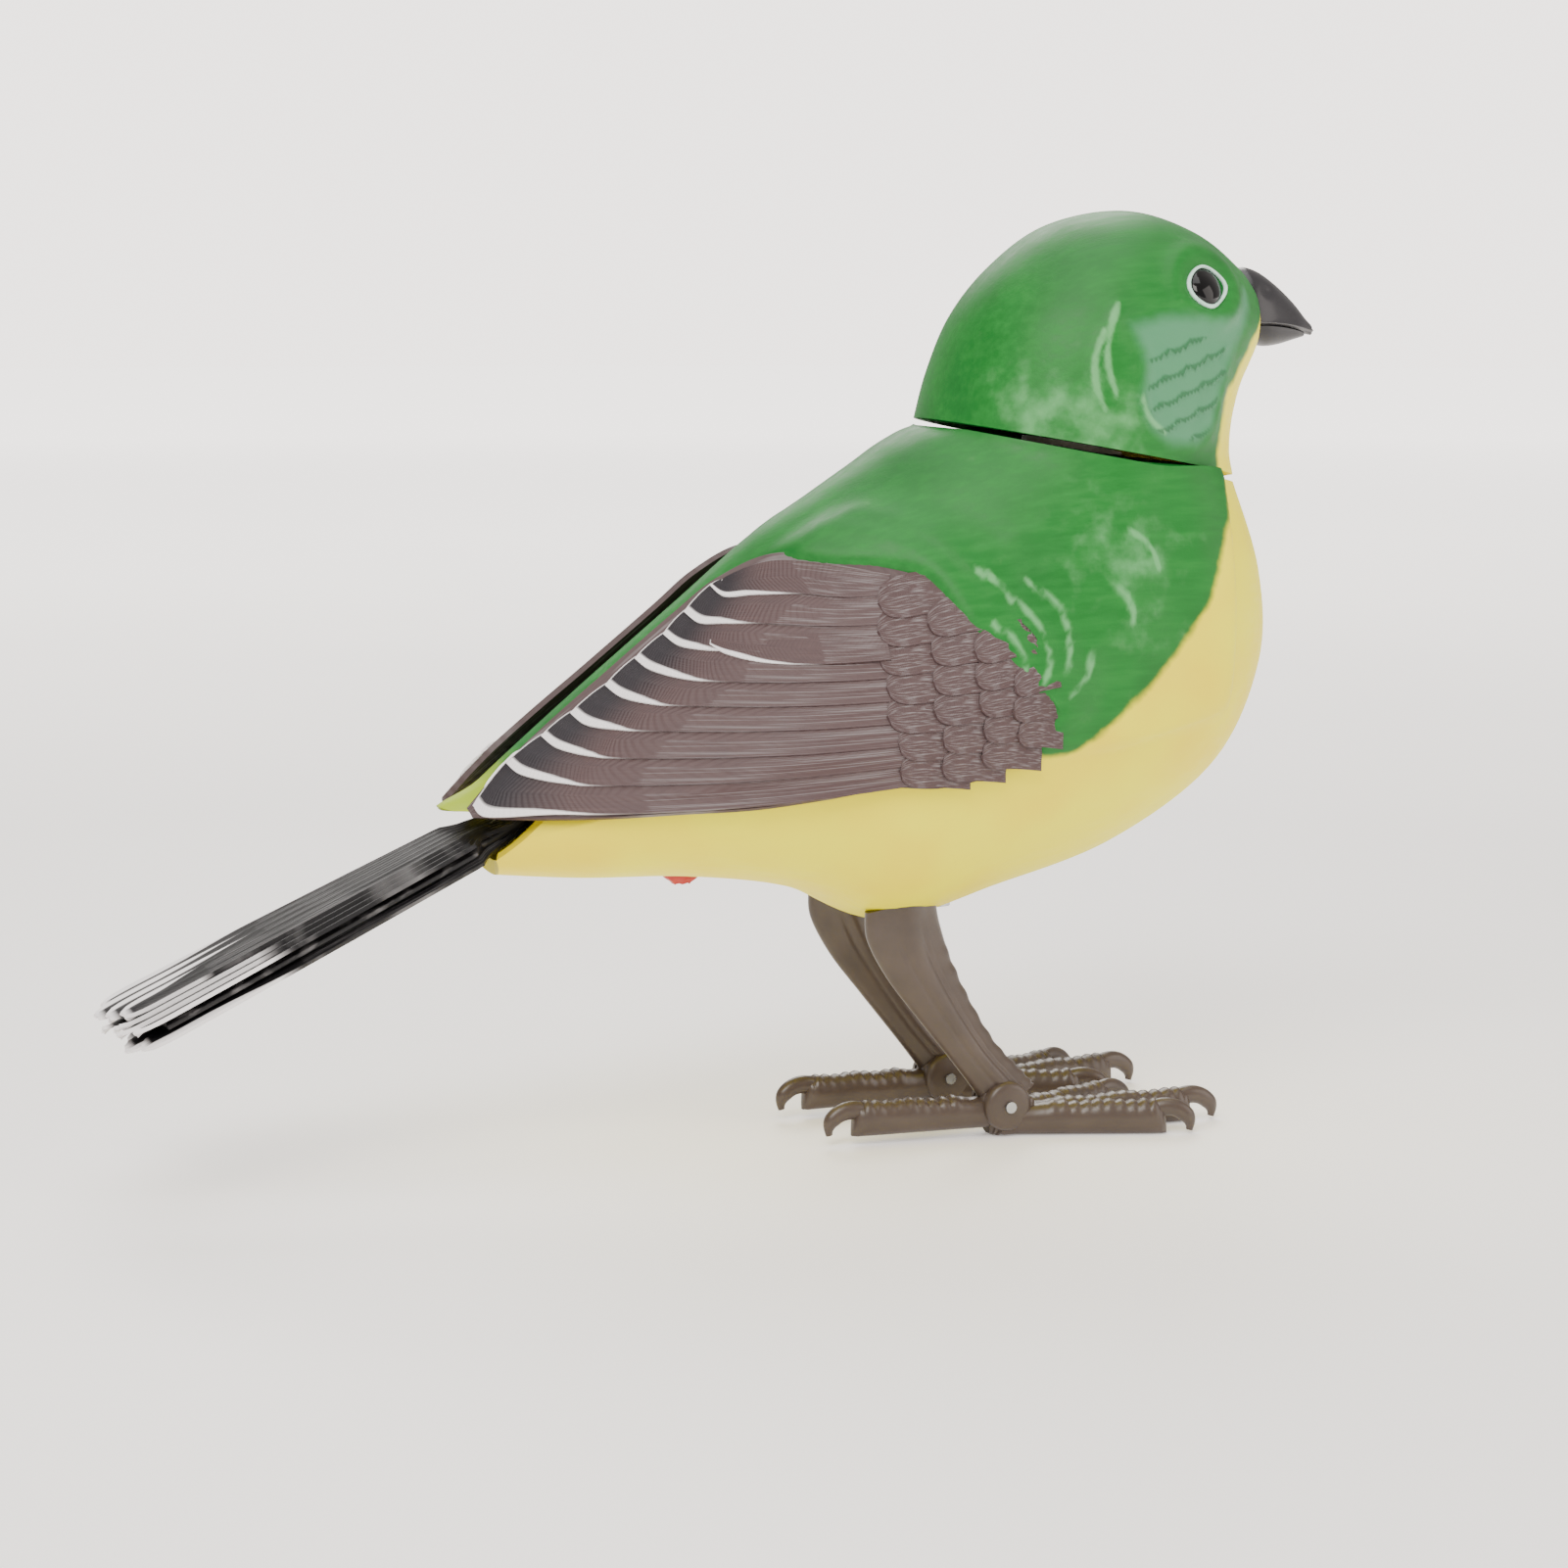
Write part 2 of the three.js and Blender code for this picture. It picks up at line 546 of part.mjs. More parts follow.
function eye(side) {
  const bead = new THREE.SphereGeometry(EYE_R, 14, 9).applyMatrix4(new THREE.Matrix4().makeScale(1, 0.8, 1));
  const way = eyeAt(side, 1).sub(eyeAt(side, 0));
  bead.applyQuaternion(new THREE.Quaternion().setFromUnitVectors(v3(0, 1, 0), way));
  bead.translate(...eyeAt(side, -0.2).toArray());
  const seatCut = bar(eyeAt(side, -6), eyeAt(side, EYE_SEAT), EYE_R * 2, 20);
  return join(toSolid(bead).subtract(toSolid(seatCut)), bar(eyeAt(side, -3.2), eyeAt(side, 0), EYE_R * 0.55, 16));
}

const MOUTH_FRAME_HALF = 6.4;
const MOUTH_BRIDGE = [107.6, 108.8];
const MOUTH_CHEEK = [4.2, 5.4];
const BEAK_ROOT_HALF = 2.9;
const coilX = BEAK_PIVOT[0] - BEAK_ARM;

function mouthFrame() {
  const cheek = (side) => box([BEAK_PIVOT[0] - 4, BEAK_PIVOT[0] + 1.5], side > 0 ? MOUTH_CHEEK : MOUTH_CHEEK.map((y) => -y).reverse(), [BEAK_PIVOT[1] - 1.6, MOUTH_BRIDGE[1]]);
  const bridge = box([coilX - 5, BEAK_PIVOT[0] - 1], [-MOUTH_FRAME_HALF, MOUTH_FRAME_HALF], MOUTH_BRIDGE);
  return cut(
    join(bridge, cheek(-1), cheek(1)),
    crosswise(BEAK_PIVOT[0], BEAK_PIVOT[1], [-9, 9], SMALL_PIN_R + RUNNING),
    upright(coilX, 0, [100, 120], 1.8, 16),
  );
}

// Beak cross-sections are half rings with the cut edge level with the mouth line.
function beakRing(x, zEdge, height, halfWidth, up) {
  const ring = [];
  for (let i = 0; i <= 12; i++) {
    const a = (Math.PI * i) / 12;
    ring.push(v3(x, halfWidth * Math.cos(a) * up, zEdge + up * height * Math.sin(a)));
  }
  return ring;
}

function upperBeak() {
  const stations = [
    [72.5, 105.2, 7, 4.9],
    [74.6, 105.1, 6.4, 4.5],
    [77, 104.9, 5, 3.6],
    [79.6, 104.5, 3.2, 2.4],
    [81.6, 104.1, 1.5, 1.2],
    [BEAK_TIP[0], 103.9, 0.7, 0.5],
  ];
  const blade = loft(stations.map(([x, z, h, w]) => beakRing(x, z, h, w, 1)));
  const root = box([MOUTH[0] + 3.4, 74], [-BEAK_ROOT_HALF, BEAK_ROOT_HALF], [MOUTH_BRIDGE[0] - 2, MOUTH[4] - GAP]);
  return cut(join(blade, root), box([60, BEAK_PIVOT[0] - 0.6], [-9, 9], [100, MOUTH_BRIDGE[1] + GAP]));
}

function lowerBeak() {
  const stations = [
    [73.8, 104.6, 2.5, 3.6],
    [75.4, 104.5, 2.7, 3.5],
    [77.4, 104.3, 2.3, 2.8],
    [79.8, 103.9, 1.3, 1.7],
    [81.4, 103.5, 0.5, 0.7],
  ];
  const blade = loft(stations.map(([x, z, h, w]) => beakRing(x, z, h, w, -1)));
  const hub = crosswise(BEAK_PIVOT[0], BEAK_PIVOT[1], [-BEAK_ROOT_HALF, BEAK_ROOT_HALF], 1.7);
  const neck = box([BEAK_PIVOT[0], 74.4], [-BEAK_ROOT_HALF, BEAK_ROOT_HALF], [BEAK_PIVOT[1] - 1.5, BEAK_PIVOT[1] + 1.3]);
  const arm = box([coilX - 2.6, BEAK_PIVOT[0]], [-1.6, 1.6], [BEAK_PIVOT[1] - 1.3, BEAK_PIVOT[1] + 0.3]);
  return cut(join(blade, hub, neck, arm), crosswise(BEAK_PIVOT[0], BEAK_PIVOT[1], [-9, 9], SMALL_PIN_R + RUNNING));
}

// ---------------------------------------------------------------- gears
// Spur gear outline with involute flanks; phase is the direction of one tooth's middle.
function gearOutline(teeth, phase) {
  const rp = pitch(teeth);
  const rb = rp * Math.cos(rad(20));
  const [root, tip] = [rp - 1.2 * MODULE, rp + 0.9 * MODULE];
  const inv = (a) => Math.tan(a) - a;
  const half = (r) =>
    (Math.PI / 2 - BACKLASH / MODULE) / teeth + inv(rad(20)) - inv(Math.acos(Math.min(1, rb / Math.max(r, rb))));
  const flank = [root, tip];
  const outline = [];
  for (let k = 0; k < teeth; k++) {
    const middle = phase + (k / teeth) * Math.PI * 2;
    for (const r of flank) outline.push([r * Math.cos(middle - half(r)), r * Math.sin(middle - half(r))]);
    for (const r of [...flank].reverse()) outline.push([r * Math.cos(middle + half(r)), r * Math.sin(middle + half(r))]);
  }
  return outline;
}

const meshPhase = (from, fromTeeth, fromPhase, to, toTeeth) => {
  const way = Math.atan2(to[1] - from[1], to[0] - from[0]);
  return way + Math.PI - ((fromPhase - way) * fromTeeth) / toTeeth - Math.PI / toTeeth;
};

function gear([x, y], teeth, phase, z, bore) {
  return plate(gearOutline(teeth, phase), z, [[0, 0, bore]]).translate(x, y, 0);
}

const bore = AXLE_R + RUNNING;
const hubRing = ([x, y], z, radius) =>
  toSolid(upright(x, y, z, radius)).subtract(toSolid(upright(x, y, [z[0] - 1, z[1] + 1], bore)));
const idler2Pinion = meshPhase(crankAt, CRANK_TEETH, 0, idler2At, PINION_TEETH);
const idler1Pinion = meshPhase(idler2At, WHEEL_TEETH, 0, idler1At, PINION_TEETH);
const motorPhase = meshPhase(idler1At, WHEEL_TEETH, 0, motorAt, PINION_TEETH);

function crankGear() {
  const pinTop = LEVER_Z[0] - OPEN_PIVOT;
  const discLow = ROD_Z[1] + OPEN_PIVOT;
  const pin = upright(crankAt[0] + CRANK_PIN_RADIUS, crankAt[1], [CRANK_Z[0], pinTop], PIN_R, 16);
  const disc = upright(crankAt[0] + TAIL_OFFSET, crankAt[1], [discLow, CRANK_Z[0] + 0.5], 2.9);
  const round = upright(crankAt[0], crankAt[1], [discLow - 1, CRANK_Z[0] + 1], bore);
  return join(gear(crankAt, CRANK_TEETH, 0, CRANK_Z, bore), pin, cut(toSolid(disc), round));
}

const compound = (at, wheelZ, pinionZ, pinionPhase) =>
  join(
    gear(at, WHEEL_TEETH, 0, wheelZ, bore),
    gear(at, PINION_TEETH, pinionPhase, [Math.min(...pinionZ) - 0.4, Math.max(...pinionZ) + 0.2], bore),
    hubRing(at, [wheelZ[0] - 0.4, Math.max(...pinionZ)], 1.8),
  );

function headLever() {
  const reach = -CRANK_CENTRE;
  const outline = [];
  const slotHalf = CRANK_PIN_RADIUS + PIN_R + GAP;
  const end = reach + slotHalf + 1.4;
  const arc = (x, r, from, to) => {
    for (let i = 0; i <= 8; i++) {
      const a = rad(from + ((to - from) * i) / 8);
      outline.push([x + r * Math.cos(a), r * Math.sin(a)]);
    }
  };
  arc(0, 6, -140, 140);
  arc(-end + 2.6, 2.6, 90, 270);
  const lever = toSolid(plate(outline, LEVER_Z));
  const slot = box([-reach - slotHalf, -reach + slotHalf], [-PIN_R - GAP, PIN_R + GAP], [LEVER_Z[0] - 1, LEVER_Z[1] + 1]);
  return cut(lever, slot, upright(0, 0, [LEVER_Z[0] - 1, LEVER_Z[1] + 1], spindleR + GAP, 28));
}

const spindleR = BUSH_BORE - RUNNING;
function neckSpindle() {
  const low = LEVER_Z[0] - 0.6;
  const tube = upright(0, 0, [low, SPINDLE_Z[1]], spindleR, 28);
  const collar = upright(0, 0, [LEVER_Z[1] + GAP, LEVER_Z[1] + 1.2], spindleR + 0.6, 28);
  const hole = upright(0, 0, [low - 1, 10], spindleR - SPINDLE_WALL, 20);
  return cut(join(inNeck(tube), inNeck(collar), spindleFlange(RIM_GROOVE, SPINDLE_Z)), inNeck(hole));
}

function neckBush() {
  const z = [-DECK - NECK_SEAM / 2 - 1.2, NECK_SEAM / 2 + GAP];
  const sleeve = upright(0, 0, z, BUSH_BORE + BUSH_WALL, 28);
  const flange = upright(0, 0, [-NECK_SEAM / 2 + GAP / 2, NECK_SEAM / 2 + GAP], BUSH_BORE + BUSH_WALL + BUSH_FLANGE, 28);
  return cut(join(sleeve, flange), upright(0, 0, [-20, 10], BUSH_BORE, 28));
}

const baseOutline = [
  [-24.8, -8.4],
  [-23, -11.4],
  [-18, -13.4],
  [RAIL_X[0] - 0.5, -16],
  [RAIL_X[0] + 0.5, -BASE_EDGE],
  [RAIL_X[1] - 0.5, -BASE_EDGE],
  [4, -19.4],
  [13.6, -19],
  [16.6, -8],
  [17.4, 9.4],
  [RAIL_X[1] - 0.5, BASE_EDGE],
  [RAIL_X[0] + 0.5, BASE_EDGE],
  [-18, 13.4],
  [-23, 11.4],
  [-24.8, 8.4],
];

function gearboxBase() {
  const posts = POSTS.map(([x, y]) => upright(x, y, [baseZ[1] - 0.2, topZ[0] - GAP], POST_R, 14));
  const axleHoles = [crankAt, idler2At, idler1At].map(([x, y]) => [x, y, AXLE_R + GAP / 2]);
  const floor = plate(baseOutline, baseZ, [...axleHoles, [...motorAt, 2.2]]);
  const pilots = GEARBOX_SCREWS.map((i) => upright(...POSTS[i], [topZ[0] - 6, topZ[0] + 1], SCREW_R + GAP / 2, 12));
  return cut(join(floor, ...posts), ...pilots);
}

const GEARBOX_SCREWS = [2, 3];
function gearboxTopPlate() {
  const window = [...crankAt, CRANK_PIN_RADIUS + PIN_R + 0.8];
  const holes = [window, ...[idler2At, idler1At].map(([x, y]) => [x, y, AXLE_R + GAP / 2])];
  const screws = GEARBOX_SCREWS.map((i) => [...POSTS[i], SCREW_R + GAP / 2]);
  const outline = [
    [-24.2, -8.4],
    [-22.4, -10.8],
    [-13, -12],
    [5, -18.6],
    [10.6, -18.6],
    [16.4, 5],
    [15.6, 9.4],
    [-13, 12],
    [-22.4, 10.8],
    [-24.2, 8.4],
  ];
  return toSolid(plate(outline, topZ, [...holes, ...screws]));
}

const axle = ([x, y], top) => upright(x, y, [baseZ[0] - 0.4, top], AXLE_R, 16);

function panScrew(length, radius = SCREW_R) {
  return join(upright(0, 0, [-length, 0.2], radius, 14), upright(0, 0, [0, 1.4], SCREW_HEAD_R, 18));
}

// ---------------------------------------------------------------- tail
const tailWay = v3(-Math.cos(rad(TAIL_SLOPE)), 0, -Math.sin(rad(TAIL_SLOPE)));
const tailUp = v3(-Math.sin(rad(TAIL_SLOPE)), 0, Math.cos(rad(TAIL_SLOPE)));
const tailPivot = v3(TAIL_PIVOT[0], 0, TAIL_PIVOT[1]);
const tailPoint = (u, y, w) => tailPivot.clone().addScaledVector(tailWay, u).addScaledVector(tailUp, w).add(v3(0, y, 0));

// One half of the fan of tail feathers, as plan points [distance from the pivot, y].
const TAIL_HALF = [
  [1.5, TAIL_ROOT_WIDTH / 2],
  [9.4, TAIL_ROOT_WIDTH / 2 + 0.6],
  [10.9, TAIL_END_WIDTH / 2 - 3],
  [30, TAIL_END_WIDTH / 2 - 1.5],
  [46, TAIL_END_WIDTH / 2 - 0.4],
  [TAIL_LENGTH - 6, TAIL_END_WIDTH / 2],
  [TAIL_LENGTH - 1.8, TAIL_END_WIDTH / 2 - 0.6],
  [TAIL_LENGTH, TAIL_END_WIDTH / 2 - 2.4],
  [TAIL_LENGTH - 2.6, TAIL_END_WIDTH / 2 - 5.2],
  [TAIL_LENGTH - 5, 0],
];

function tailPiece() {
  const fan = (half, z) => plate([...half, ...half.slice(0, -1).reverse().map(([u, y]) => [u, -y])], z);
  const thin = TAIL_THICK / 2 - 0.5;
  const flat = toGeometry(join(fan(TAIL_HALF, [-thin, thin]), fan(TAIL_HALF.slice(2), [-TAIL_THICK / 2, TAIL_THICK / 2])));
  const place = new THREE.Matrix4().makeBasis(tailWay, v3(0, -1, 0), tailUp).setPosition(tailPivot);
  const hub = crosswise(TAIL_PIVOT[0], TAIL_PIVOT[1], [-TAIL_ROOT_WIDTH / 2, TAIL_ROOT_WIDTH / 2], 1.9, 20);
  const arm = box([TAIL_PIVOT[0] - 1.1, TAIL_PIVOT[0] + 1.1], [-1, 1], [TAIL_PIVOT[1], TAIL_PIVOT[1] + TAIL_ARM + 1.3]);
  const neck = loft([1, 4].map((u) => [-1, 1].flatMap((s) => [tailPoint(u, s * 3.4, s * 1.2), tailPoint(u, -s * 3.4, s * 1.2)])));
  return cut(
    join(flat.applyMatrix4(place), hub, arm, neck),
    crosswise(TAIL_PIVOT[0], TAIL_PIVOT[1], [-9, 9], SMALL_PIN_R + RUNNING),
    crosswise(TAIL_PIVOT[0], TAIL_PIVOT[1] + TAIL_ARM, [-9, 9], ROD_R + GAP, 12),
  );
}

// A wire rod from an eye round the crank axle to a hook in the tail's arm.
const ROD_R = 0.6;
function tailPushrod() {
  const z = mid(ROD_Z);
  const eyeR = 3.4;
  const ring = new THREE.TorusGeometry(eyeR, ROD_R - 0.05, 6, 18).translate(crankAt[0], 0, z);
  const start = neckPoint(crankAt[0] - eyeR, 0, z);
  const exit = neckPoint(crankAt[0] - 17, 0, z);
  const hook = v3(TAIL_PIVOT[0] + 5, 0, TAIL_PIVOT[1] + TAIL_ARM + 1.2);
  const end = v3(TAIL_PIVOT[0], 2.4, TAIL_PIVOT[1] + TAIL_ARM);
  const wire = [
    bar(start, exit, ROD_R, 8),
    bar(exit, hook.clone().add(v3(0, 2.4, 0)), ROD_R, 8),
    bar(hook.clone().add(v3(0, 2.4, 0)), end, ROD_R, 8),
    bar(end.clone().add(v3(0, 0.5, 0)), v3(end.x, -2, end.z), ROD_R, 8),
    ...[exit, hook.clone().add(v3(0, 2.4, 0)), end].map((p) => new THREE.SphereGeometry(ROD_R * 1.04, 8, 5).translate(...p.toArray())),
  ];
  return join(inNeck(ring), ...wire);
}

// ---------------------------------------------------------------- legs and feet
const LEG_SHAPE = [
  // middle x, z, half depth in x, half width in y
  [18.8, 32.2, 4.5, 3],
  [19, 28.5, 4.4, 3],
  [21.2, 23.2, 3.9, 2.6],
  [24.9, 17.2, 3.2, 2.1],
  [29, 11.4, 2.8, 2],
  [32.4, 7.4, 3, 2.2],
  [34.4, 5, 3.2, 2.3],
];
const FRONT_TOES = [
  // length to the claw, direction in plan (degrees, outward positive)
  { length: 30.4, angle: 5, rise: 1 },
  { length: 25.4, angle: 21, rise: 0.9 },
  { length: 23, angle: -17, rise: 0.9 },
];
const TOE_HALF = SOLE_WIDTH / 2;
const HIND_LENGTH = 24.4;
const HIND_RAISE = 1.1; // the hind toe's pad hangs this far above the table
const CLAW_R = 0.95;

// A toe in its own frame: runs along +x from the ankle, flat underneath, and ends in a hooked claw.
function toe(length, rise) {
  const pad = length - 5.2;
  const ring = (x, h, w) => [
    v3(x, -w, 0),
    v3(x, w, 0),
    v3(x, w, h * 0.55),
    v3(x, w * 0.62, h * 0.9),
    v3(x, 0, h),
    v3(x, -w * 0.62, h * 0.9),
    v3(x, -w, h * 0.55),
  ];
  const shapes = [
    [-1.5, 4.6, TOE_HALF],
    [pad * 0.3, 4.5, TOE_HALF * 0.9],
    [pad * 0.62, 4.6 * rise, TOE_HALF * 0.84],
    [pad * 0.94, 4.7 * rise, TOE_HALF * 0.8],
    [pad + 0.4, 4.4 * rise, TOE_HALF * 0.66],
  ];
  const digit = loft(shapes.map(([x, h, w]) => ring(x, h, w)));
  const hook = [];
  for (let i = 0; i <= 5; i++) {
    const a = rad(200 - 236 * (i / 5));
    const r = CLAW_R * 1.5 * (1 - 0.62 * (i / 5));
    const centre = v3(pad + 2.2 + 3.1 * Math.cos(a), 0, 1.7 + 2.6 * Math.sin(a));
    const out = v3(Math.cos(a), 0, Math.sin(a));
    hook.push(
      Array.from({ length: 6 }, (_, k) => {
        const b = (k / 6) * Math.PI * 2;
        return centre.clone().addScaledVector(out, r * Math.cos(b)).add(v3(0, r * 0.8 * Math.sin(b), 0));
      }),
    );
  }
  return join(digit, toSolid(loft(hook)).intersect(toSolid(box([pad - 4, pad + 9], [-3, 3], [0, 12]))));
}

const toePlace = (angle, side) =>
  new THREE.Matrix4().makeRotationZ(rad(angle) * side).setPosition(TOE_PIVOT[0], side * LEG_Y, 0);

// The ankle's clevis keeps a slot open for the hind toe's knuckle.
const KNUCKLE_HALF = 1.3;
function leg(name) {
  const side = SIDES[name];
  const shank = loft(
    LEG_SHAPE.map(([x, z, dx, dy]) =>
      Array.from({ length: 10 }, (_, k) => {
        const a = (k / 10) * Math.PI * 2;
        return v3(x + dx * Math.cos(a), side * LEG_Y + dy * Math.sin(a), z + dx * 0.35 * Math.cos(a));
      }),
    ),
  );
  const peg = box([LEG_PEG[0], LEG_PEG[1]], [side * LEG_Y - LEG_PEG[2] / 2, side * LEG_Y + LEG_PEG[2] / 2], [29, LEG_PEG_TOP]);
  const ankle = crosswise(TOE_PIVOT[0], TOE_PIVOT[1], [side * LEG_Y - 3.2, side * LEG_Y + 3.2], 3.6, 20);
  const heel = box([TOE_PIVOT[0] - 1, TOE_PIVOT[0] + 4], [side * LEG_Y - 3, side * LEG_Y + 3], [0, 5]);
  const toes = FRONT_TOES.map((t) => toSolid(toGeometry(toe(t.length, t.rise)).applyMatrix4(toePlace(t.angle, side))));
  const whole = join(shank, peg, ankle, heel, ...toes);
  const slotY = [side * LEG_Y - KNUCKLE_HALF - GAP, side * LEG_Y + KNUCKLE_HALF + GAP];
  const slot = join(
    crosswise(TOE_PIVOT[0], TOE_PIVOT[1], slotY, 3.6 + GAP, 20),
    box([TOE_PIVOT[0] - 8, TOE_PIVOT[0]], slotY, [-2, TOE_PIVOT[1] + 3.6 + GAP]),
  );
  const wall = bodyWalls.outer;
  const cleared = cut(whole, slot, crosswise(TOE_PIVOT[0], TOE_PIVOT[1], [side * LEG_Y - 9, side * LEG_Y + 9], SMALL_PIN_R + RUNNING, 16));
  const proud = cut(cleared, wall, box([-50, 90], [-40, 40], [-20, 0]));
  const inside = cleared.intersect(toSolid(peg));
  return biggest(join(proud, inside));
}

// The spring-clip hind toe, pinned in the ankle's slot.
function hindToe(name) {
  const side = SIDES[name];
  const raised = toGeometry(toe(HIND_LENGTH, 1)).translate(0, 0, HIND_RAISE);
  const digit = toSolid(raised.applyMatrix4(toePlace(180 + 3, side)));
  const clear = box([TOE_PIVOT[0] - 4.2, TOE_PIVOT[0] + 20], [side * LEG_Y - 9, side * LEG_Y + 9], [-2, 12]);
  const y = [side * LEG_Y - KNUCKLE_HALF, side * LEG_Y + KNUCKLE_HALF];
  const knuckle = crosswise(TOE_PIVOT[0], TOE_PIVOT[1], y, 3.2, 20);
  const web = box([TOE_PIVOT[0] - 6, TOE_PIVOT[0]], y, [TOE_PIVOT[1] - 2.6, TOE_PIVOT[1] + 0.2]);
  return cut(
    join(digit.subtract(toSolid(clear)), knuckle, web),
    crosswise(TOE_PIVOT[0], TOE_PIVOT[1], [side * LEG_Y - 9, side * LEG_Y + 9], SMALL_PIN_R + RUNNING, 16),
  );
}

// ---------------------------------------------------------------- power and sound
function batteryTray() {
  const shellBox = box(trayX, [-trayHalf, trayHalf], trayZ);
  const hollow = box([trayX[0] + TRAY_WALL, trayX[1] - TRAY_WALL], [-trayHalf + TRAY_WALL, trayHalf - TRAY_WALL], [0, trayZ[1] - TRAY_WALL]);
  return cut(toSolid(shellBox), hollow);
}

const cell = (i) => {
  const from = CELL_START + i * CELL_T + 0.02;
  const can = bar(v3(from, 0, CELL_Z), v3(from + CELL_T - 1, 0, CELL_Z), CELL_R, 24);
  const cap = bar(v3(from + CELL_T - 1.2, 0, CELL_Z), v3(from + CELL_T - 0.06, 0, CELL_Z), CELL_R - 1, 24);
  return join(can, cap);
};

const contact = (x, height, reach) =>
  join(
    box([x, x + 0.4], [-3.4, 3.4], [CELL_Z - 3.4, CELL_Z + height]),
    bar(v3(x + 0.2, 0, CELL_Z), v3(x + reach, 0, CELL_Z), 2.4, 14, 1),
  );

function batteryDoor(wall) {
  const panel = wall.outer.subtract(wall.inner).intersect(toSolid(doorCut(0)));
  const screwHole = upright(DOOR_X[0] + 2.4, 0, [10, 60], SCREW_R + GAP / 2, 14);
  const seat = upright(DOOR_X[0] + 2.4, 0, [10, bellyZ(DOOR_X[0] + 2.4) + 0.9], SCREW_HEAD_R + GAP, 18);
  return biggest(cut(panel, screwHole, seat));
}

// Height of the belly's keel at a place along the body.
function bellyZ(x) {
  let [lo, hi] = [0, 1];
  for (let i = 0; i < 24; i++) {
    const t = (lo + hi) / 2;
    if (along(BODY, t)[2] < x) lo = t;
    else hi = t;
  }
  return along(BODY, (lo + hi) / 2)[3];
}

function speakerFrame() {
  const basket = bar(speakerPoint(0), speakerPoint(SPEAKER_T - 1.4), SPEAKER_R, 28);
  const magnet = bar(speakerPoint(SPEAKER_T - 1.6), speakerPoint(SPEAKER_T), SPEAKER_R * 0.55, 24);
  return cut(join(basket, magnet), bar(speakerPoint(-1), speakerPoint(1.2), SPEAKER_R - 0.9, 28));
}

const speakerCone = () =>
  toSolid(bar(speakerPoint(0.9), speakerPoint(0.35), SPEAKER_R - 0.9 - GAP, 24, SPEAKER_R * 0.3));

// A twin flex: two insulated wires side by side, along a smooth route.
function twinFlex(route, radius = 0.45) {
  const curve = new THREE.CatmullRomCurve3(route);
  const shape = new THREE.Shape();
  shape.absellipse(0, 0, radius, radius * 2, 0, Math.PI * 2);
  return new THREE.ExtrudeGeometry(shape, { steps: 3 * (route.length - 1), extrudePath: curve, curveSegments: 6 });
}

// ---------------------------------------------------------------- assembly
const bodyWalls = bodyWall();
const headWalls = headWall();
const bird = new THREE.Group();
const works = new THREE.Group(); // gear train and neck, in the neck's frame
works.position.copy(neckAt);
works.rotation.y = neckTilt;
bird.add(works);

function add(name, shape, material, group = bird) {
  const geometry = shape.volume ? toGeometry(shape) : shape;
  const mesh = new THREE.Mesh(geometry, material);
  mesh.name = name;
  group.add(mesh);
  return mesh;
}

for (const name of Object.keys(SIDES)) {
  const side = SIDES[name];
  add(`body_shell_${name}`, bodyShell(name, bodyWalls), yellow);
  add(`wing_${name}`, wing(name), brown);
  add(`head_shell_${name}`, headShell(name, headWalls), green);
  add(`eye_${name}`, eye(side), black);
  add(`leg_${name}`, leg(name), horn);
  add(`hind_toe_${name}`, hindToe(name), horn);
  add(`toe_pin_${name}`, crosswise(TOE_PIVOT[0], TOE_PIVOT[1], [side * LEG_Y - 3.4, side * LEG_Y + 3.4], SMALL_PIN_R), steel);
}

add("upper_beak", upperBeak(), black);
add("lower_beak", lowerBeak(), black);
add("beak_pivot_pin", crosswise(BEAK_PIVOT[0], BEAK_PIVOT[1], [-MOUTH_CHEEK[1], MOUTH_CHEEK[1]], SMALL_PIN_R), steel);
add("beak_magnet", upright(coilX, 0, [BEAK_PIVOT[1] + 0.3 + GAP / 3, BEAK_PIVOT[1] + 2], 2, 16), steel);
add("mouth_frame", mouthFrame(), natural);
const bobbinZ = [MOUTH_BRIDGE[1] + GAP, MOUTH_BRIDGE[1] + GAP + 6.4];
const spool = join(
  upright(coilX, 0, [bobbinZ[0], bobbinZ[0] + 0.8], 4.8),
  upright(coilX, 0, [bobbinZ[1] - 0.8, bobbinZ[1]], 4.8),
  upright(coilX, 0, bobbinZ, 1.9),
);
add("coil_bobbin", cut(spool, upright(coilX, 0, [100, 130], 1.1, 14)), natural);
const windingZ = [bobbinZ[0] + 0.8 + GAP / 3, bobbinZ[1] - 0.8 - GAP / 3];
add("coil_winding", cut(toSolid(upright(coilX, 0, windingZ, 4.2)), upright(coilX, 0, [100, 130], 1.9 + GAP / 3)), copper);

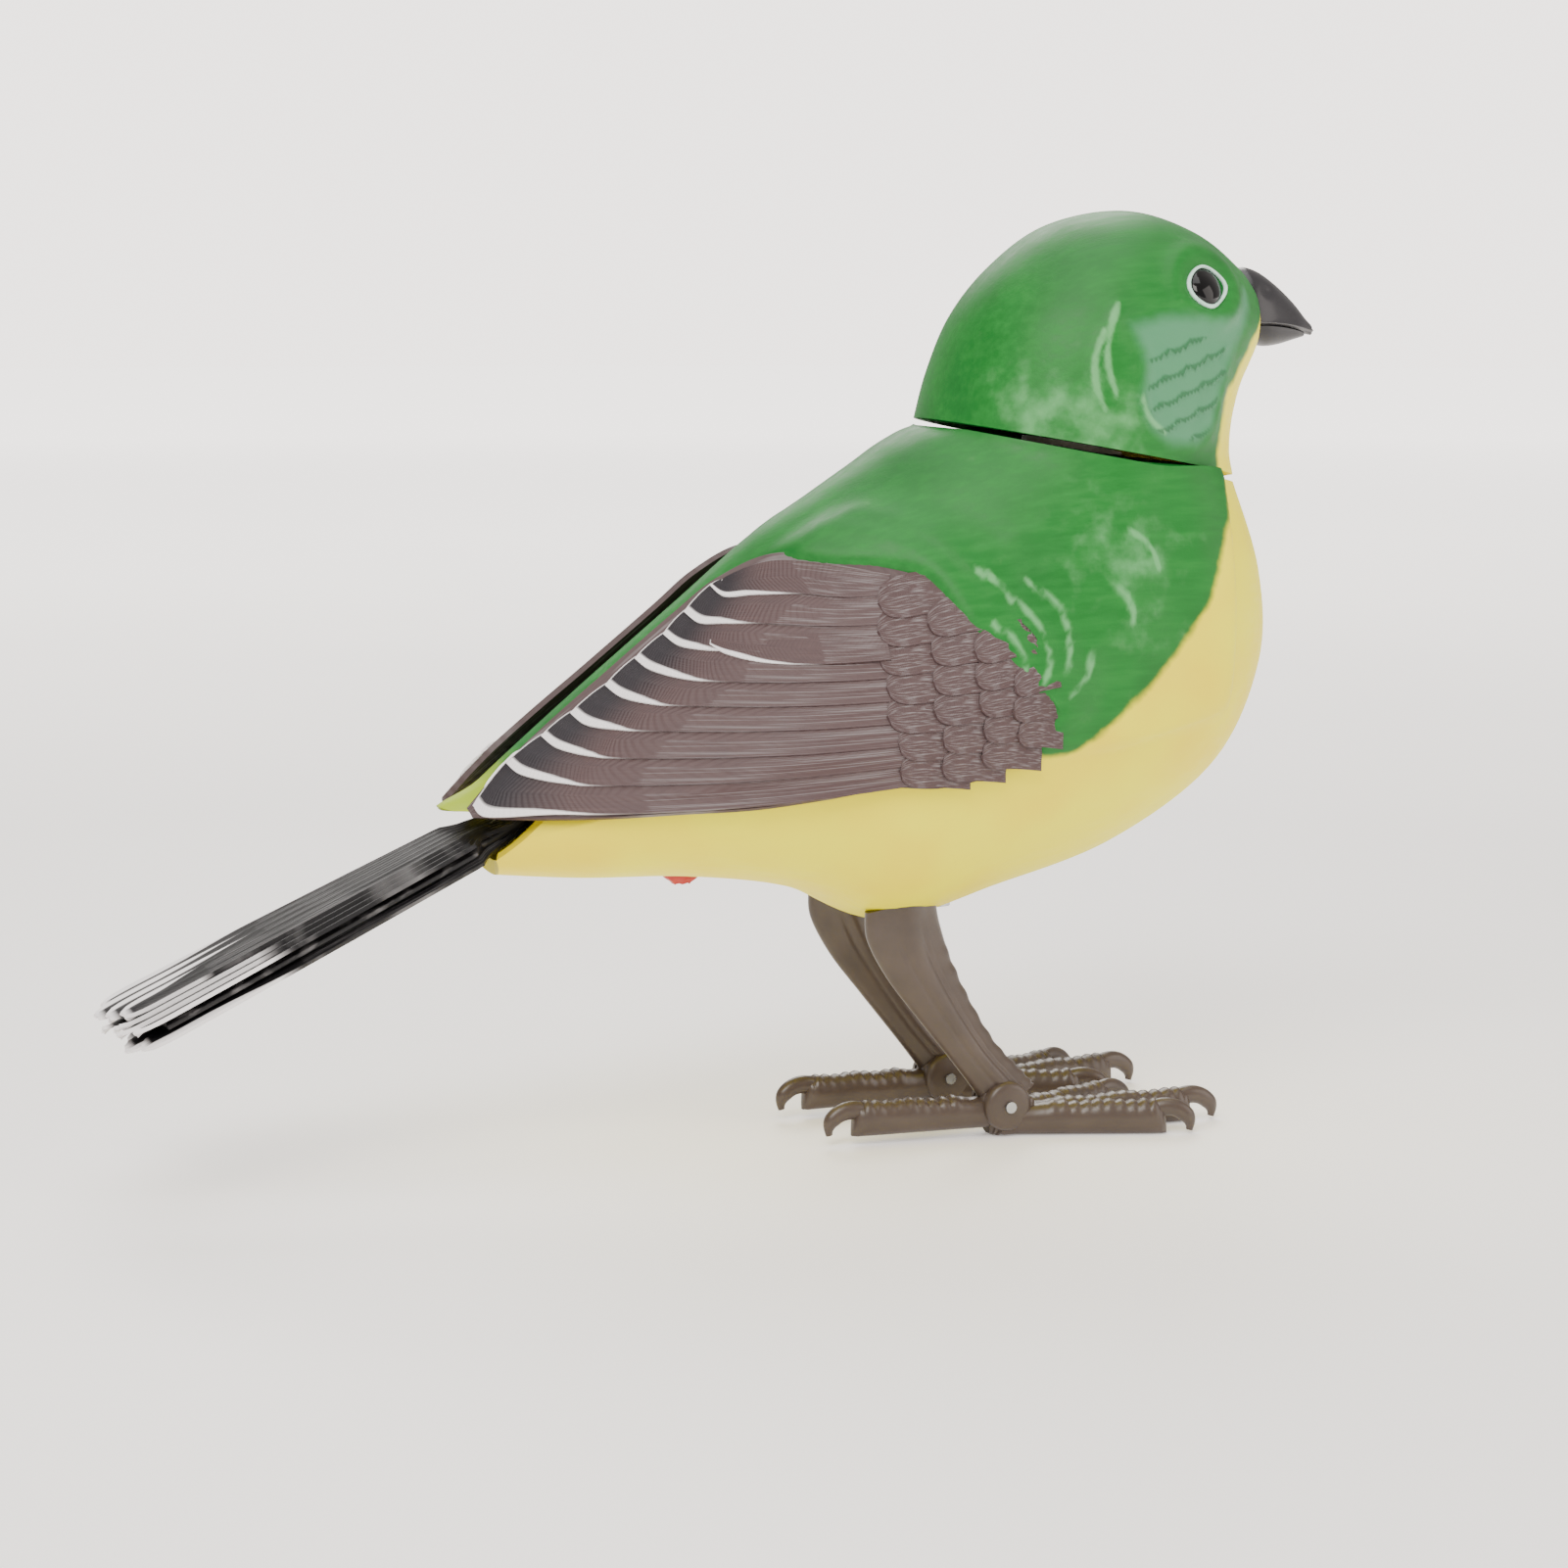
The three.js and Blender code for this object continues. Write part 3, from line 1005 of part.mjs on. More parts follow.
add("neck_spindle", neckSpindle(), natural);
add("neck_bush", neckBush(), natural, works);
add("head_lever", headLever(), natural, works);
add("gearbox_base", gearboxBase(), natural, works);
add("gearbox_top_plate", gearboxTopPlate(), natural, works);
add("crank_gear", crankGear(), natural, works);
add("idler_gear_2", compound(idler2At, LEVEL_1, CRANK_Z, idler2Pinion), natural, works);
add("idler_gear_1", compound(idler1At, LEVEL_2, LEVEL_1, idler1Pinion), natural, works);
add("crank_axle", axle(crankAt, CRANK_Z[1] + 0.6), steel, works);
add("idler_axle_2", axle(idler2At, topZ[1] + 0.4), steel, works);
add("idler_axle_1", axle(idler1At, topZ[1] + 0.4), steel, works);
const motorTop = baseZ[0] - GAP;
const motorCase = join(
  box([motorAt[0] - MOTOR_CASE[0] / 2, motorAt[0] + MOTOR_CASE[0] / 2], [motorAt[1] - MOTOR_CASE[1] / 2, motorAt[1] + MOTOR_CASE[1] / 2], [
    motorTop - MOTOR_CASE[2],
    motorTop,
  ]),
);
const shaftR = 0.75;
add("motor_case", cut(motorCase, upright(...motorAt, [motorTop - 4, motorTop + 1], shaftR + RUNNING, 12)), steel, works);
add("motor_shaft", upright(...motorAt, [motorTop - 3.6, LEVEL_2[1] + 0.4], shaftR, 12), steel, works);
add("motor_pinion", gear(motorAt, PINION_TEETH, motorPhase, [LEVEL_2[0] - 0.3, LEVEL_2[1] + 0.2], shaftR + RUNNING), brass, works);
for (const [i, name] of [
  [2, "right"],
  [3, "left"],
]) {
  const [x, y] = POSTS[i];
  add(`gearbox_screw_${name}`, toGeometry(panScrew(5.6)).translate(x, y, topZ[1] + GAP / 3), steel, works);
}

add("tail", tailPiece(), black);
add("tail_pivot_pin", crosswise(TAIL_PIVOT[0], TAIL_PIVOT[1], [-5.6, 5.6], SMALL_PIN_R), steel);
add("tail_pushrod", tailPushrod(), steel);

for (const [name, [x, z]] of Object.entries(SHELL_SCREWS)) {
  const screw = toGeometry(panScrew(12)).rotateX(-Math.PI / 2).translate(x, 6 + GAP, z);
  add(`shell_screw_${name}`, screw, steel);
}

const [bx0, bx1, bz, bHalf] = BOARD;
add("circuit_board", box([bx0, bx1], [-bHalf, bHalf], [bz, bz + BOARD_T]), board);
add("microphone", upright(3.5, -4, [bz - 2.4, bz - GAP / 3], 2.2, 18), steel);
const knobX = [SWITCH_AT[0] - 2.6, SWITCH_AT[0] + 2.6];
const switchZ = [bz - 3.4, bz - GAP / 3];
const housing = box([SWITCH_AT[0] - 4.2, SWITCH_AT[0] + 6.2], [-2.2, 2.2], switchZ);
const housingSlot = box([knobX[0] + 0.6 - GAP, knobX[1] - 0.6 + SWITCH_TRAVEL + GAP], [-0.8 - GAP, 0.8 + GAP], [switchZ[0] - 1, switchZ[1] - 1]);
add("switch_housing", cut(toSolid(housing), housingSlot), steel);
const knobLow = bellyZ(SWITCH_AT[0]) - 1.5;
const knob = join(
  box([knobX[0] + 0.6, knobX[1] - 0.6], [-0.8, 0.8], [knobLow + 0.6, switchZ[1] - 1 - GAP]),
  box(knobX, [-1.3, 1.3], [knobLow, bz - 3.4 - GAP]),
);
add("switch_knob", knob, red);
add("speaker_frame", speakerFrame(), steel);
add("speaker_cone", speakerCone(), black);

add("battery_tray", batteryTray(), black);
CELLS.forEach((name, i) => add(`cell_${name}`, cell(i), steel));
add("spring_contact", contact(CELL_START - 2, 5.4, 1.8), steel);
add("plate_contact", toGeometry(contact(0, 5.4, 0.9)).rotateZ(Math.PI).translate(CELL_START + CELLS.length * CELL_T + 1.1, 0, 0), steel);
add("battery_door", batteryDoor(bodyWalls), yellow);
const doorScrewX = DOOR_X[0] + 2.4;
add(
  "battery_door_screw",
  toGeometry(panScrew(4.2)).rotateX(Math.PI).translate(doorScrewX, 0, bellyZ(doorScrewX) + 0.9 - GAP),
  steel,
);

const motorTail = neckPoint(motorAt[0], motorAt[1] + 3, motorTop - MOTOR_CASE[2] - 0.6);
add(
  "motor_lead",
  twinFlex([motorTail, motorTail.clone().add(v3(-0.5, 4.5, -2.4)), v3(38, 13, 48.4), v3(18, 11, 47), v3(5, 6, 45.6)]),
  red,
);
const speakerTail = speakerPoint(SPEAKER_T + 0.8);
add(
  "speaker_lead",
  twinFlex([speakerTail, speakerTail.clone().add(v3(-2, -7, 0)), v3(46, -14, 47), v3(30, -13, 48.5), v3(18, -10, 47), v3(6, -6, 45.6)]),
  red,
);
add(
  "coil_lead",
  twinFlex([v3(coilX - 5.6, 0, 110), v3(50, 0.5, 104), neckPoint(0, 0.3, 9), neckPoint(0, 0.3, 0), neckPoint(0, 0, LEVER_Z[0] + 0.6)], 0.35),
  red,
);

export default bird;
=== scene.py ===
import json
import math
import random

import bpy
import numpy as np
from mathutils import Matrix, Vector
from mathutils.bvhtree import BVHTree


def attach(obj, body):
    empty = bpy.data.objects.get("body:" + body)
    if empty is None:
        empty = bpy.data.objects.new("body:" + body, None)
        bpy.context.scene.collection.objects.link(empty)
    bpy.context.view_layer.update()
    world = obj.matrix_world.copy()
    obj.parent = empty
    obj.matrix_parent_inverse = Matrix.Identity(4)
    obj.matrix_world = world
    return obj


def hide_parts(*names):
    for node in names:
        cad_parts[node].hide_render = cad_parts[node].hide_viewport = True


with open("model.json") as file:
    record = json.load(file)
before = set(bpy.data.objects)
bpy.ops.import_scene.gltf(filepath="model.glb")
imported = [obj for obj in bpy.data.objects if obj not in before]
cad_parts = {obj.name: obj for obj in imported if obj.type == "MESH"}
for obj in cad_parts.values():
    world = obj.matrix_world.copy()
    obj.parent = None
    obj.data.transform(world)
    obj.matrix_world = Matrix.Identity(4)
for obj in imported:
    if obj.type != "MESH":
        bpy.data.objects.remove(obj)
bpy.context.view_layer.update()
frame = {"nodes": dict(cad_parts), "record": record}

# The looks of a moulded songbird toy: carved and painted shells, wings and tail of laid feathers,
# ribbed feet and a gloss beak. Sizes are in millimetres until a point is placed.
MM = 0.001
SIDES = {"right": -1, "left": 1}

# ------------------------------------------------------------ sizes shared with the model
HALF_WIDTH = 24.8
SHELL_WALL = 1.8
NECK_AT, NECK_UP, NECK_AHEAD = (47.2, 88.55), (0.18764, 0.98224), (0.98224, -0.18764)
NECK_SEAM = 1.0
# back x, back z, belly x, belly z, share of the widest, roof
BODY = [
    (-38, 46, -33.2, 37, 0.274, 0.3), (-31, 52.1, -22, 36, 0.464, 0.45), (-20.5, 60.7, -8, 35.4, 0.669, 0.5),
    (-8, 70.6, 6, 33.2, 0.847, 0.5), (2.5, 78.9, 18.5, 28.2, 0.952, 0.4),
    (10.9, 84.1, 34, 31.7, 0.992, 0.25), (16.6, 87.6, 50.6, 36.7, 1, 0.12),
    (20.2, 89.9, 65.3, 46.1, 0.984, 0.04), (23.1, 91.4, 72.1, 59.2, 0.927, 0),
    (25, 92.3, 72.2, 72, 0.863, 0), (26, 92.6, 68.4, 84.5, 0.798, 0)]
HEAD = [
    (26, 92.6, 68.4, 84.5, 0.798, 0), (27.9, 99.2, 67.8, 87.8, 0.798, 0), (31.2, 106.5, 67.9, 90.8, 0.778, 0),
    (36.6, 112.8, 68.4, 93.6, 0.746, 0), (44.1, 117.9, 69.2, 96, 0.685, 0),
    (54, 119.7, 70.3, 98, 0.581, 0), (62.6, 117.5, 71.2, 99.2, 0.444, 0),
    (69, 113.5, 71.9, 100, 0.306, 0), (72, 110.8, 72.2, 100.6, 0.218, 0)]
BODY_LEAN, HEAD_LEAN = 0.1, 0.04
# x, half distance apart, z, from the tip forward
WING_UPPER = [
    (-38, 4.6, 46.3), (-32.8, 4, 51.6), (-26.6, 3.7, 56.8), (-19.4, 3.5, 62.4), (-10.2, 3.5, 69.6),
    (-4.3, 4.2, 74), (3, 6.4, 76.9), (12, 13.4, 75.7), (20.1, 18, 72.8), (28, 22, 63.3)]
WING_LOWER = [
    (-37.6, 5.6, 45.2), (-31, 9.5, 45.2), (-23, 14, 45.6), (-14.4, 18, 46.3), (-6, 21, 46.8), (2, 23, 47.8),
    (10, 24, 48.8), (18, 24.5, 48.5), (26, 24.5, 50.6), (32.4, 24.5, 57.4)]
WING_GAP, WING_THICK = 0.4, 2.2
TAIL_PIVOT, TAIL_SLOPE = (-27.5, 45.1), math.radians(24.5)
TAIL_WIDTH = [(2, 4.6), (8.8, 5.1), (10.9, 7.6), (30, 9.2), (46, 10.3), (53.9, 10.7), (60, 10.6)]
TOE_PIVOT, LEG_Y = (33.2, 4.0), 9.5
# x, z, half depth, half width
SHANK = [(18.8, 32.2, 4.5, 3), (19, 28.5, 4.4, 3), (21.2, 23.2, 3.9, 2.6), (24.9, 17.2, 3.2, 2.1),
         (29, 11.4, 2.8, 2), (32.4, 7.4, 3, 2.2), (34.4, 5, 3.2, 2.3)]
FRONT_TOES = [(30.4, 5), (25.4, 21), (23, -17)]  # length, degrees outward
HIND_TOE = (24.4, 183, 1.1)
EYE_AT = (59, 109.9)
DOOR_X, DOOR_HALF, DOOR_SCREW_X = (25.6, 46.6), 7.2, 28.0
KNOB_X, KNOB_HALF, KNOB_LOW = (-10.4, -5.2), 1.3, 34.1
SHELL_SCREWS = [(-16.5, 49.6), (9, 77.4), (22.5, 56.5)]
SPEAKER_FACE, SPEAKER_TILT = (58.2, 46.4), math.radians(33)


# ------------------------------------------------------------ curves and zones
def along(stations, t):
    """A smooth run through a list of points, t from 0 to 1."""
    last = len(stations) - 1
    at = min(max(t, 0), 1) * last
    i = min(int(at), last - 1)
    u = at - i
    a, b, c, d = (stations[min(max(k, 0), last)] for k in (i - 1, i, i + 1, i + 2))
    return [0.5 * (2 * q + (r - p) * u + (2 * p - 5 * q + 4 * r - s) * u * u
                   + (3 * q - p - 3 * r + s) * u ** 3) for p, q, r, s in zip(a, b, c, d)]


def width_share(s, lean, roof):
    c = math.sqrt(max(0, 1 - s * s))
    return ((1 - roof) * c + roof * (1 - s) if s > 0 else c) * (1 - lean * s)


def half_width(stations, lean, x, z):
    """Half width of a shell at a place seen from the side, 0 outside it."""
    def side(t):
        tx, tz, bx, bz = along(stations, t)[:4]
        return (tx - bx) * (z - bz) - (tz - bz) * (x - bx)
    low, high = 0.0, 1.0
    if side(0) > 0 or side(1) < 0:
        return 0
    for _ in range(20):
        t = (low + high) / 2
        low, high = (low, t) if side(t) > 0 else (t, high)
    tx, tz, bx, bz, share, roof = along(stations, low)
    s = 2 * ((x - bx) * (tx - bx) + (z - bz) * (tz - bz)) / ((tx - bx) ** 2 + (tz - bz) ** 2) - 1
    return 0 if abs(s) >= 1 else share * HALF_WIDTH * width_share(s, lean, roof)


def ramp(value, low, high):
    """Smooth 0 to 1 as value goes from low to high."""
    t = np.clip((np.asarray(value, float) - low) / (high - low), 0, 1)
    return t * t * (3 - 2 * t)


def line_reach(points, line):
    """Distance in mm from side-view points to a line of points."""
    best = np.full(len(points), 1e9)
    for (ax, az), (bx, bz) in zip(line, line[1:]):
        way = np.array([bx - ax, bz - az])
        t = np.clip(((points - (ax, az)) @ way) / max(way @ way, 1e-9), 0, 1)
        best = np.minimum(best, np.hypot(*(points - (ax, az) - t[:, None] * way).T))
    return best


def zone_depth(points, outline):
    """Depth in mm inside a closed side-view outline, negative outside it."""
    closed = list(outline) + [outline[0]]
    inside = np.zeros(len(points), bool)
    for (ax, az), (bx, bz) in zip(closed, closed[1:]):
        if az != bz:
            crosses = (points[:, 1] < az) != (points[:, 1] < bz)
            inside ^= crosses & (points[:, 0] < ax + (points[:, 1] - az) * (bx - ax) / (bz - az))
    return np.where(inside, 1, -1) * line_reach(points, closed)


def smooth_line(points, steps=6):
    count = (len(points) - 1) * steps
    return [tuple(along(points, i / count)) for i in range(count + 1)]


YELLOW_ZONE = smooth_line([
    (74, 108.5), (70.6, 105.8), (67.7, 103), (64.2, 98.9), (61.9, 96.3), (61.3, 92.7), (60.4, 89),
    (60.1, 82.2), (58.7, 79.2), (57.4, 75.5), (56, 71.6), (51.6, 64.9), (47.6, 61.1),
    (43.4, 57.6), (36.7, 52.9), (32, 51.6), (26, 54), (10, 52), (-10, 51), (-25, 49),
    (-36, 45.8), (-46, 44)]) + [(-60, 0), (100, 0), (100, 108)]
CHEEK_ZONE = smooth_line([
    (46.3, 105.5), (47.9, 100.5), (47.1, 95), (50.2, 90.4), (54.5, 89.8), (58.6, 91.6), (60.6, 96.5),
    (63.5, 101.7), (66.8, 106.5), (67, 110), (62, 106.4), (53.2, 106.8), (46.5, 105.6)])
CHEEK_SCALES = smooth_line([
    (48.6, 102.5), (48.2, 95.5), (50.4, 90.8), (57.6, 91), (60.2, 96.5), (62, 101.5), (56, 104.2)])
# The cape of green feathers that lies over the top and front of each wing.
CAPE_ZONE = smooth_line([
    (-7, 76), (-2, 76.2), (2.5, 76.1), (8, 75.2), (14, 74.9), (18.4, 73.4), (20.6, 70), (23.4, 65.3),
    (27.4, 61.4), (31.4, 58.3), (32.2, 57), (30.6, 54.4), (29.8, 51.6),
    (34, 50.5)]) + [(60, 56), (60, 100), (-7, 100)]
TUFT_LINES = [smooth_line(points) for points in (
    [(1, 77.6), (5, 78.2), (9.6, 79.4), (14.5, 78.6), (20.4, 74.6), (23.4, 69)],
    [(8, 80.6), (14, 81.4), (20.5, 79), (25.5, 73), (28.5, 66.5)],
    [(29, 60.4), (33.5, 57.5), (37, 57.2)])]
SHOULDER_STROKES = [smooth_line(points) for points in (
    [(25, 68.5), (27.4, 66.6), (28.6, 63.6), (28.2, 61.2)],
    [(27.6, 72), (30.8, 69), (32, 64.8), (31, 61)],
    [(30.6, 73.6), (34, 70.6), (35.2, 66.6), (34.4, 62.4)], [(24, 75), (27, 73.4), (28, 71)],
    [(34.5, 59.5), (37, 61.5), (38.4, 65)], [(41, 74), (43.4, 71.6), (44.4, 68.4)],
    [(45, 79.5), (47.4, 77.4), (48.4, 74.4)])]
HEAD_STROKES = [smooth_line(points) for points in (
    [(45.6, 107.9), (44, 104.4), (43.3, 100.6), (44, 96.6)],
    [(43.4, 104.6), (41.9, 101.4), (41.6, 98), (42.6, 94.6)],
    [(47.4, 96.2), (48.3, 93.6), (50.6, 91.6)])]


def scales(points, pitch, spread, radius, turn):
    """Roof-tile scales: height 0..1 over each and how near its rim a point is, 0..1."""
    c, s = math.cos(turn), math.sin(turn)
    along_flow = points[:, 0] * c + points[:, 1] * s
    across = -points[:, 0] * s + points[:, 1] * c
    height, rim, free = np.zeros(len(points)), np.zeros(len(points)), np.ones(len(points), bool)
    row_here = np.floor(along_flow / pitch).astype(int)
    for step in range(-3, 3):
        row = row_here + step
        shift = 0.5 * (row % 2)
        middle = (np.round(across / spread - shift) + shift) * spread
        reach = np.hypot(along_flow - row * pitch, (across - middle) * 0.9) / radius
        hit = free & (reach < 1)
        height[hit] = 0.25 + 0.75 * reach[hit] ** 2
        rim[hit] = ramp(reach[hit], 0.74, 0.95)
        free &= ~hit
    return height, rim


def cheek_scales(points):
    return scales(points, 2.9, 3.7, 3.7, math.radians(-70))


# ------------------------------------------------------------ modelling
def clear_selection():
    if bpy.context.object and bpy.context.object.mode != "OBJECT":
        bpy.ops.object.mode_set(mode="OBJECT")
    bpy.ops.object.select_all(action="DESELECT")


def take(piece):
    clear_selection()
    piece.select_set(True)
    bpy.context.view_layer.objects.active = piece
    return piece


def settle(piece):
    """Turns a piece's place and turn into its mesh."""
    take(piece)
    bpy.ops.object.transform_apply(location=True, rotation=True, scale=True)
    return piece


def points_of(piece):
    co = np.empty(len(piece.data.vertices) * 3)
    piece.data.vertices.foreach_get("co", co)
    return co.reshape(-1, 3)


def set_points(piece, co):
    piece.data.vertices.foreach_set("co", np.asarray(co, float).ravel())
    piece.data.update()


def modify(piece, kind, **settings):
    take(piece)
    made = piece.modifiers.new(kind.lower(), kind)
    for key, value in settings.items():
        setattr(made, key, value)
    bpy.ops.object.modifier_apply(modifier=made.name)
    return piece


def outward(piece):
    take(piece)
    bpy.ops.object.mode_set(mode="EDIT")
    bpy.ops.mesh.select_all(action="SELECT")
    bpy.ops.mesh.normals_make_consistent(inside=False)
    bpy.ops.object.mode_set(mode="OBJECT")
    return piece


def tube(name, sides, rings, place, ends="both"):
    """A cylinder cut into rings, whose points place(u, angle) moves: u runs 0 to 1 along it."""
    clear_selection()
    bpy.ops.mesh.primitive_cylinder_add(vertices=sides, radius=0.5, depth=1, end_fill_type="NGON",
                                        location=(0, 0, 0))
    piece = bpy.context.object
    piece.name = name
    co = points_of(piece)
    bpy.ops.object.mode_set(mode="EDIT")
    bpy.ops.mesh.select_mode(type="EDGE")
    bpy.ops.mesh.select_all(action="DESELECT")
    bpy.ops.object.mode_set(mode="OBJECT")
    for edge in piece.data.edges:
        a, b = edge.vertices
        edge.select = bool(abs(co[a][2] - co[b][2]) > 0.5)
    bpy.ops.object.mode_set(mode="EDIT")
    bpy.ops.mesh.subdivide(number_cuts=rings - 2)
    if ends != "both":
        bpy.ops.mesh.select_mode(type="FACE")
        bpy.ops.mesh.select_all(action="DESELECT")
        bpy.ops.object.mode_set(mode="OBJECT")
        for face in piece.data.polygons:
            at_end = abs(abs(face.center.z) - 0.5) < 1e-4
            face.select = at_end and (ends == "none" or face.center.z < 0)
        bpy.ops.object.mode_set(mode="EDIT")
        bpy.ops.mesh.delete(type="ONLY_FACE")
    bpy.ops.object.mode_set(mode="OBJECT")
    set_points(piece, [[v * MM for v in place(min(max(z + 0.5, 0), 1), math.atan2(y, x))] for x, y,
                       z in points_of(piece)])
    return outward(piece)


def join(name, pieces):
    clear_selection()
    for piece in pieces:
        piece.select_set(True)
    bpy.context.view_layer.objects.active = pieces[0]
    bpy.ops.object.join()
    pieces[0].name = name
    return pieces[0]


def copy_of(piece, name, mirrored=False):
    made = piece.copy()
    made.data = piece.data.copy()
    made.name = name
    bpy.context.scene.collection.objects.link(made)
    if mirrored:
        set_points(made, points_of(made) * (1, -1, 1))
        take(made)
        bpy.ops.object.mode_set(mode="EDIT")
        bpy.ops.mesh.select_all(action="SELECT")
        bpy.ops.mesh.flip_normals()
        bpy.ops.object.mode_set(mode="OBJECT")
    return made


def smooth(piece, degrees=40):
    take(piece)
    bpy.ops.object.shade_smooth_by_angle(angle=math.radians(degrees))
    return piece


def block(name, x, y, z, bevel=0.0, segments=3):
    clear_selection()
    bpy.ops.mesh.primitive_cube_add(size=1, location=[sum(r) / 2 * MM for r in (x, y, z)])
    piece = bpy.context.object
    piece.name = name
    piece.scale = [(r[1] - r[0]) * MM for r in (x, y, z)]
    settle(piece)
    if bevel:
        bpy.ops.object.mode_set(mode="EDIT")
        bpy.ops.mesh.select_all(action="SELECT")
        bpy.ops.mesh.bevel(offset=bevel * MM, segments=segments, affect="EDGES")
        bpy.ops.object.mode_set(mode="OBJECT")
    return piece


def rod(name, start, way, length, radius, sides=24, bevel=0.0):
    """A round bar from start along way, with softened ends when bevel is given."""
    way = Vector(way).normalized()
    clear_selection()
    bpy.ops.mesh.primitive_cylinder_add(vertices=sides, radius=radius * MM, depth=length * MM,
                                        location=(Vector(start) + way * length / 2) * MM,
                                        rotation=way.to_track_quat("Z", "Y").to_euler())
    piece = settle(bpy.context.object)
    piece.name = name
    if bevel:
        bpy.ops.object.mode_set(mode="EDIT")
        bpy.ops.mesh.select_mode(type="FACE")
        bpy.ops.mesh.select_all(action="DESELECT")
        bpy.ops.object.mode_set(mode="OBJECT")
        for face in piece.data.polygons:
            face.select = abs(face.normal.dot(way)) > 0.9
        bpy.ops.object.mode_set(mode="EDIT")
        bpy.ops.mesh.bevel(offset=bevel * MM, segments=3, affect="EDGES")
        bpy.ops.object.mode_set(mode="OBJECT")
    return piece


def trim(piece, tool, operation="DIFFERENCE", solver="EXACT"):
    modify(piece, "BOOLEAN", operation=operation, object=tool, solver=solver)
    bpy.data.objects.remove(tool)
    return piece


def mark(piece, name, values):
    made = piece.data.attributes.get(name) or piece.data.attributes.new(name, "FLOAT", "POINT")
    made.data.foreach_set("value", np.asarray(values, np.float32))


def hand_over(piece, finish, body, slot, *replaced):
    """Gives a finished piece its material and its body, and hides the nodes it stands for. The slot is not
    used.
    """
    piece.data.materials.clear()
    piece.data.materials.append(finish)
    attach(piece, body)
    if replaced:
        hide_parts(*replaced)
    return piece


# ------------------------------------------------------------ materials
def linear(shade):
    parts = [int(shade[i:i + 2], 16) / 255 for i in (1, 3, 5)]
    return [p / 12.92 if p <= 0.04045 else ((p + 0.055) / 1.055) ** 2.4 for p in parts] + [1.0]


def add_node(tree, kind, settings=(), links=()):
    """Adds a shader node, sets its properties and sockets, and links its inputs."""
    made = tree.nodes.new("ShaderNode" + kind)
    for key, value in dict(settings).items():
        if isinstance(key, str) and key in made.bl_rna.properties:
            setattr(made, key, value)
        else:
            made.inputs[key].default_value = value
    for key, source in dict(links).items():
        tree.links.new(source, made.inputs[key])
    return made


def new_finish(name, settings):
    """A named material with its shader; returns it with its tree, shader and object coordinates."""
    made = bpy.data.materials.new(name)
    made.use_nodes = True
    tree = made.node_tree
    shader = tree.nodes["Principled BSDF"]
    for key, value in settings.items():
        shader.inputs[key].default_value = value
    return made, tree, shader, add_node(tree, "TexCoord").outputs["Object"]


def grain_bump(tree, shader, where, size_mm, depth_mm, strength=0.5, over=None):
    """A fine moulded or sprayed surface: bumps of size_mm."""
    grain = add_node(tree, "TexNoise", {"Scale": 1000 / size_mm, "Detail": 3.0, "Roughness": 0.6},
                     {"Vector": where})
    bump = add_node(tree, "Bump", {"Strength": strength, "Distance": depth_mm * MM},
                    {"Height": grain.outputs["Fac"]})
    if over:
        tree.links.new(over, bump.inputs["Normal"])
    tree.links.new(bump.outputs["Normal"], shader.inputs["Normal"])


def plain_finish(name, shade, dark, roughness, patch_mm, grain_mm, depth_mm, stretch=(1, 1, 1), metallic=0.0,
                 coat=0.0, specular=0.5):
    """A finish of one colour that wanders to a darker one over patches, with its grain."""
    made, tree, shader, where = new_finish(name,
                                           {"Metallic": metallic, "Coat Weight": coat, "Coat Roughness": 0.12,
                                                  "Specular IOR Level": specular})
    laid = add_node(tree, "Mapping", {"Scale": stretch}, {"Vector": where})
    patches = add_node(tree, "TexNoise", {"Scale": 1000 / patch_mm, "Detail": 4.0},
                       {"Vector": laid.outputs["Vector"]})
    tint = add_node(tree, "Mix", {"data_type": "RGBA", 6: linear(shade), 7: linear(dark)},
                    {0: patches.outputs["Fac"]})
    tree.links.new(tint.outputs[2], shader.inputs["Base Color"])
    gloss = add_node(tree, "MapRange", {"From Min": 0.3, "From Max": 0.7, "To Min": roughness * 0.82,
                                        "To Max": min(1, roughness * 1.2)},
                     {"Value": patches.outputs["Fac"]})
    tree.links.new(gloss.outputs["Result"], shader.inputs["Roughness"])
    grain_bump(tree, shader, laid.outputs["Vector"], grain_mm, depth_mm)
    return made


GREEN, GREEN_LIT, GREEN_DEEP = "#0c6a20", "#268a35", "#074c17"
YELLOW, YELLOW_WARM, YELLOW_HIGHLIGHT = "#f4ea00", "#f0da00", "#f4ea1e"
CHEEK, LIME, STROKE = "#4a8a63", "#a0b81c", "#74bd7c"


